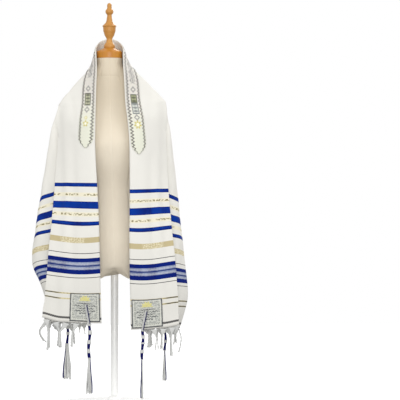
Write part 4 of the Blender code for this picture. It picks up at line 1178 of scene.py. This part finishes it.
def clothMaterial():
    material, tree = newMaterial("wovenShawl", 0.85, sheen=0.03, gloss=0.12)
    vector, along, across = patternPlace(tree)
    fromHem = fromEdge(along, cloth["length"])
    uneven = (grain(vector, 24.0, 2.0, (0.3, 1, 1)) - 0.42).steep(4.0)
    fine = calc("GREATER_THAN", grain(vector, 460.0, 2.0, (1, 0.5, 1)), 0.52)
    blobs = (grain(vector, 210.0, 2.0, (1, 0.7, 1)) - 0.46).steep(12.0)
    gaps = (grain(vector, 30.0, 1.0, (0.6, 1, 1)) - 0.36).steep(9.0)
    colour = stripeRamp(fromHem)
    red, _, blue = split(colour, "Color")
    colour = lay(colour, ("navy", (blue - red).steep(4.0), uneven, 0.66))
    for place in figures["threads"]:  # light threads through the pale stripes
        colour = lay(
            colour,
            ("white", line(fromHem, place, 0.0046), fine, 0.22),
            ("white", line(fromHem, place, 0.0014, 0.001), 0.32))
    place = figures["wideBand"]  # plain and figured by turns
    figured = line(calc("FRACT", (across - 0.012) / 0.128), 0.50, 0.26, 0.06)
    colour = lay(
        colour,
        ("gold", line(fromHem, place, 0.0084)),
        ("warmWhite", line(fromHem, place, 0.0080), figured, fine, 0.85))
    for place in figures["paleStrips"]:  # broken dark figures on a pale ground
        colour = lay(
            colour,
            ("warmWhite", line(fromHem, place, 0.0060, 0.004), 0.75),
            ("olive", line(fromHem, place, 0.0028, 0.001), blobs, gaps, 0.95))
    outer = (across - 0.098).steep(80.0)
    for place in figures["lowStrips"]:
        colour = lay(
            colour,
            ("paleGold", line(fromHem, place, 0.0024, 0.0012), 0.85),
            ("darkGrey", line(fromHem, place, 0.0019), outer, 0.95),
            ("olive", line(fromHem, place, 0.0014), gaps, blobs, 0.70))
    colour = lay(
        colour,
        ("grey", line(fromHem, figures["rope"], 0.0034), 0.85),
        ("darkGrey", zigzag(across, fromHem - figures["rope"], 0.005, 0.0018, 0.0018)))
    colour = addMedallion(along, across, colour)
    paintedHemShade = (0.30 - fromHem).steep(4.5)  # painted shade: greyer towards the hem
    # random tone, less the painted shade near the hem
    shade = grain(vector, 9.0, 3.0) * 0.06 + 0.96 - paintedHemShade * 0.10
    shaded = addNode(tree, "VectorMath", {0: colour, "Scale": shade}, operation="SCALE")
    stitch = line(fromEdge(across, cloth["width"]), figures["stitch"], 0.0006)
    return finishMaterial(material, shaded, weave(vector, 0.0013) - stitch * 2.0, 0.30)


def bandMaterial():
    material, tree = newMaterial("neckbandWeave", 0.70, sheen=0.04, gloss=0.2)
    vector, run, rise = patternPlace(tree)
    fromEnd = fromEdge(run, band["length"])
    isLeft = calc("LESS_THAN", run, band["length"] / 2)
    isRight = 1.0 - isLeft
    across = rise - 0.0305
    shadow = grain(vector, 300.0)
    colour = lay(
        "band",
        ("bandEnd", (0.16 - fromEnd).steep(12.0)),
        ("bandShadow", shadow, 0.22),
        ("bandRope", zigzag(run, rise - 0.0070, 0.0104, 0.0048, 0.0029)),  # twisted rope edges
        ("bandRope", zigzag(run, band["width"] - rise - 0.0048, 0.0104, 0.0030, 0.0020)))

    def box(half, centre, halfRun, halfRise):
        return line(fromEnd, centre, halfRun, 0.0008) * line(across, 0.0, halfRise, 0.0008) * half

    lattice = lozenge(fromEnd, across, 0.0105, 0.0110)
    for half, centre, reach, rim, filling in (  # woven panels
            (isLeft, 0.1495, 0.0195, tint(84, 86, 72), tint(182, 182, 156)),
            (isRight, 0.1705, 0.0135, tint(70, 74, 60), tint(160, 162, 128)),
            (isRight, 0.1395, 0.0170, tint(112, 116, 116), tint(206, 208, 200))):
        inside = box(half, centre, reach - 0.0028, 0.0092)
        colour = lay(
            colour, (rim, box(half, centre, reach, 0.0118)), (filling, inside), (rim, inside, lattice, 0.75))
    for half, centre in ((isLeft, 0.183), (isLeft, 0.117), (isRight, 0.199), (isRight, 0.112)):  # rosettes
        radius, angle = polar(fromEnd - centre, across)
        off = abs(radius - (calc("COSINE", angle * 4.0) * 0.0016 + 0.0062))
        colour = lay(colour, ("grey", (0.0020 - off).steep(1200.0), half, 0.90))
    for half, centre, reach, petals in (  # gold flowers
            (isLeft, 0.0745, 0.0105, 2.5), (isLeft, 0.0920, 0.0062, 2.5), (isRight, 0.0900, 0.0140, 3.5)):
        radius, angle = polar(fromEnd - centre, across)
        rim = (abs(calc("COSINE", angle * petals)) * 0.6 + 0.4) * reach
        colour = lay(
            colour,
            ("petal", (rim - radius).steep(1600.0), half, 0.9),
            ("petalHeart", (reach * 0.42 - radius).steep(1600.0), half))
    upper = (fromEnd - 0.216).steep(300.0)
    for phase, strength in ((0.0, 0.95), (math.pi, 0.60)):  # two scrolling stems up to the neck
        stem = calc("SINE", fromEnd * (2 * math.pi / 0.026) + phase) * 0.0095
        colour = lay(colour, ("grey", (0.0023 - abs(across - stem)).steep(2500.0), upper, strength))
    buds = lozenge(fromEnd, across, 0.013, 0.0052)
    colour = lay(colour, ("darkGrey", buds, upper, calc("GREATER_THAN", shadow, 0.5)))
    return finishMaterial(material, colour, weave(vector, 0.0010), 0.35)


def patchMaterial():
    material, tree = newMaterial("cornerPatchWeave", 0.70, sheen=0.04, gloss=0.2)
    vector, wide, high = patternPlace(tree)
    across = wide - patch["across"] / 2
    edge = calc("MINIMUM", fromEdge(wide, patch["across"]), fromEdge(high, patch["along"]))
    dashes = calc("GREATER_THAN", calc("FRACT", (wide + high) / 0.0066), 0.5)
    worn = (grain(vector, 300.0, 1.0) - 0.38).steep(9.0)
    marks = [
        ("ink", zigzag(wide, high - row, 0.0094, 0.0016, 0.0013), line(across, 0.0, reach, 0.001), worn, 0.95)
        for row, reach in patch["rows"]]
    radius, angle = polar(across, high - 0.0635)  # a gold fan
    rim = (abs(calc("COSINE", angle * 5.0)) * 0.35 + 0.65) * 0.0185
    hole, _ = polar(wide - (eyelet["across"] - patch["inset"]), high - (eyelet["along"] - patch["inset"]))
    colour = lay(
        "patch",
        ("patchLight", (grain(vector, 170.0, 3.0) - 0.40).steep(5.0)),
        ("patchRim", (0.0031 - edge).steep(1500.0)),
        ("patchStrip", line(edge, 0.0062, 0.0016, 0.0008), 0.7),
        ("patchDash", line(edge, 0.0096, 0.0012), dashes, 0.75),
        *marks,
        ("fan", (rim - radius).steep(1500.0), calc("GREATER_THAN", high, 0.0632), 0.80),
        ("grey", line(hole, 0.0052, 0.0010)))
    return finishMaterial(material, colour, weave(vector, 0.0010), 0.35)


def cordMaterial():
    material, tree = newMaterial("twistedCord", 0.85, sheen=0.05, gloss=0.15)
    fibre = grain(patternPlace(tree)[0], 900.0, 2.0, (1, 0.02, 1))
    tone = addNode(tree, "Attribute", {}, "Fac", attribute_name="tone")
    blue = lay("cordNavy", ("cordBlue", fibre))
    return finishMaterial(material, lay("cord", ("cordLight", fibre), (blue, tone)), fibre, 0.4, 0.0003)


def linenMaterial():
    material, tree = newMaterial("formLinen", 0.92, sheen=0.04, gloss=0.2)
    vector, run, _ = patternPlace(tree)
    height = split(objectPlace(tree))[2]
    slub = grain(vector, 420.0, 2.0, (1, 0.12, 1))
    seams = [math.radians(seam) * form["patternRadius"] for seam in form["seams"]]
    colour = lay(
        "linen",
        ("linenShade", grain(vector, 16.0, 4.0)),
        ("slub", slub, 0.35),
        ("paintedUpperShade", (height - 0.74).steep(4.0), 0.50),  # painted shade, darker from the chest up to the neck
        *[("seam", line(run, seam, 0.0012, 0.0016), 0.18) for seam in seams])
    return finishMaterial(material, colour, weave(vector, 0.0011) + slub * 0.6, 0.35, 0.0003)


def woodMaterial(name, light, dark, coat, roughness):
    material, tree = newMaterial(name, roughness, coat=coat)
    place = objectPlace(tree)
    fine = grain(place, 500.0, 2.0, (1, 1, 0.05))
    coarse = (grain(place, 60.0, 4.0, (1, 1, 0.12)) - 0.3).steep(2.2)
    roughen(material, fine * 0.15 + (roughness - 0.06))
    return finishMaterial(material, lay(dark, (light, coarse), (dark, fine, 0.25)), fine, 0.08, 0.0003)


def metalMaterial():
    material, tree = newMaterial("paintedSteel", 0.35, coat=0.2)
    speckle = grain(objectPlace(tree), 700.0)
    roughen(material, speckle * 0.12 + 0.30)
    return finishMaterial(material, lay("steelPaint", ("steelSpeck", speckle)), speckle, 0.12)


# Stage, light and camera
stage = {
    "floorHalf": 5.0,
    "floorGlow": 0.18,
    "cameraDistance": 8.0,
    "cameraHeight": 0.629,
    "viewWidth": 1.24,
    "aside": 0.265,
    "backdrop": 1.0,
    "world": 0.85,
    "lampAim": (0, 0, 0.7),
    "lamps": {  # place, side and power
        "key": (-3.0, -3.2, 4.4, 2.0, 36.0),
        "fill": (3.2, -3.0, 4.0, 2.4, 40.0),
        "front": (0.0, -9.0, 1.3, 3.0, 256.0),
        "back": (1.5, 3.4, 3.0, 2.4, 105.0),
    },
}


def addLamp(name, x, y, z, side, power):
    lamp = bpy.data.lights.new(name, "AREA")
    lamp.size = side
    lamp.energy = power
    item = addItem(name, lamp)
    item.location = (x, y, z)
    item.rotation_euler = (Vector(stage["lampAim"]) - item.location).to_track_quat("-Z", "Y").to_euler()


def glow(tree, socket, seenStrength, strength):  # the camera sees one strength, the pieces get another
    seen = addNode(tree, "LightPath", {}, "Is Camera Ray")
    feed(tree, socket, seen * (seenStrength - strength) + strength)


def makeStage():
    scene = bpy.context.scene
    shape = bmesh.new()
    bmesh.ops.create_grid(shape, x_segments=2, y_segments=2, size=stage["floorHalf"])
    mesh = bpy.data.meshes.new("floor")
    shape.to_mesh(mesh)
    shape.free()
    floor = addItem("floor", mesh)
    material, tree = newMaterial("floorPaint", 0.9)
    inputs = tree.nodes["Principled BSDF"].inputs
    inputs["Base Color"].default_value = colours["floor"]
    inputs["Emission Color"].default_value = (1, 1, 1, 1)
    glow(tree, inputs["Emission Strength"], 1, stage["floorGlow"])
    mesh.materials.append(material)
    scene.world = bpy.data.worlds.new("studio")
    scene.world.use_nodes = True
    background = scene.world.node_tree.nodes["Background"]
    background.inputs["Color"].default_value = (1, 1, 1, 1)
    glow(scene.world.node_tree, background.inputs["Strength"], stage["backdrop"], stage["world"])
    for name, setting in stage["lamps"].items():
        addLamp(name, *setting)
    scene.view_settings.view_transform = "Standard"
    camera = bpy.data.cameras.new("camera")
    camera.sensor_width = 36
    camera.lens = camera.sensor_width * stage["cameraDistance"] / stage["viewWidth"]
    camera.clip_end = 100
    scene.camera = addItem("camera", camera)
    scene.camera.location = (0, -stage["cameraDistance"], stage["cameraHeight"])
    scene.camera.rotation_euler = (math.pi / 2, 0, -math.atan(stage["aside"] / stage["cameraDistance"]))
    print("stage and camera")


def main():
    makeStage()
    shawl = makeShawl(clothMaterial())
    neckband = makeBand(bandMaterial())
    patchWeave = patchMaterial()
    cord = cordMaterial()
    patches = [makePatch(name, patchWeave) for name in corners]
    knotted = [makeTassel(name, cord) for name in corners]
    fringes = [makeFringe(side, cord) for side in sides]
    makeForm(linenMaterial())
    varnished = woodMaterial("varnishedWood", "amberWood", "amberGrain", 0.12, 0.44)
    pale = woodMaterial("paleTurnedWood", "paleWood", "paleGrain", 0.05, 0.50)
    paint = metalMaterial()
    centre = cloth["neckCentreX"]
    turn("capTurned", cap, centre, varnished, "cap_wood", "neck_cap")
    turn("finialTurned", finial, centre, pale, "finial_wood", "finial")
    turn("poleTurned", pole, 0.0, paint, "stand_metal", "stand_pole")
    turn("baseTurned", base, 0.0, paint, "stand_metal", "stand_base")


main()
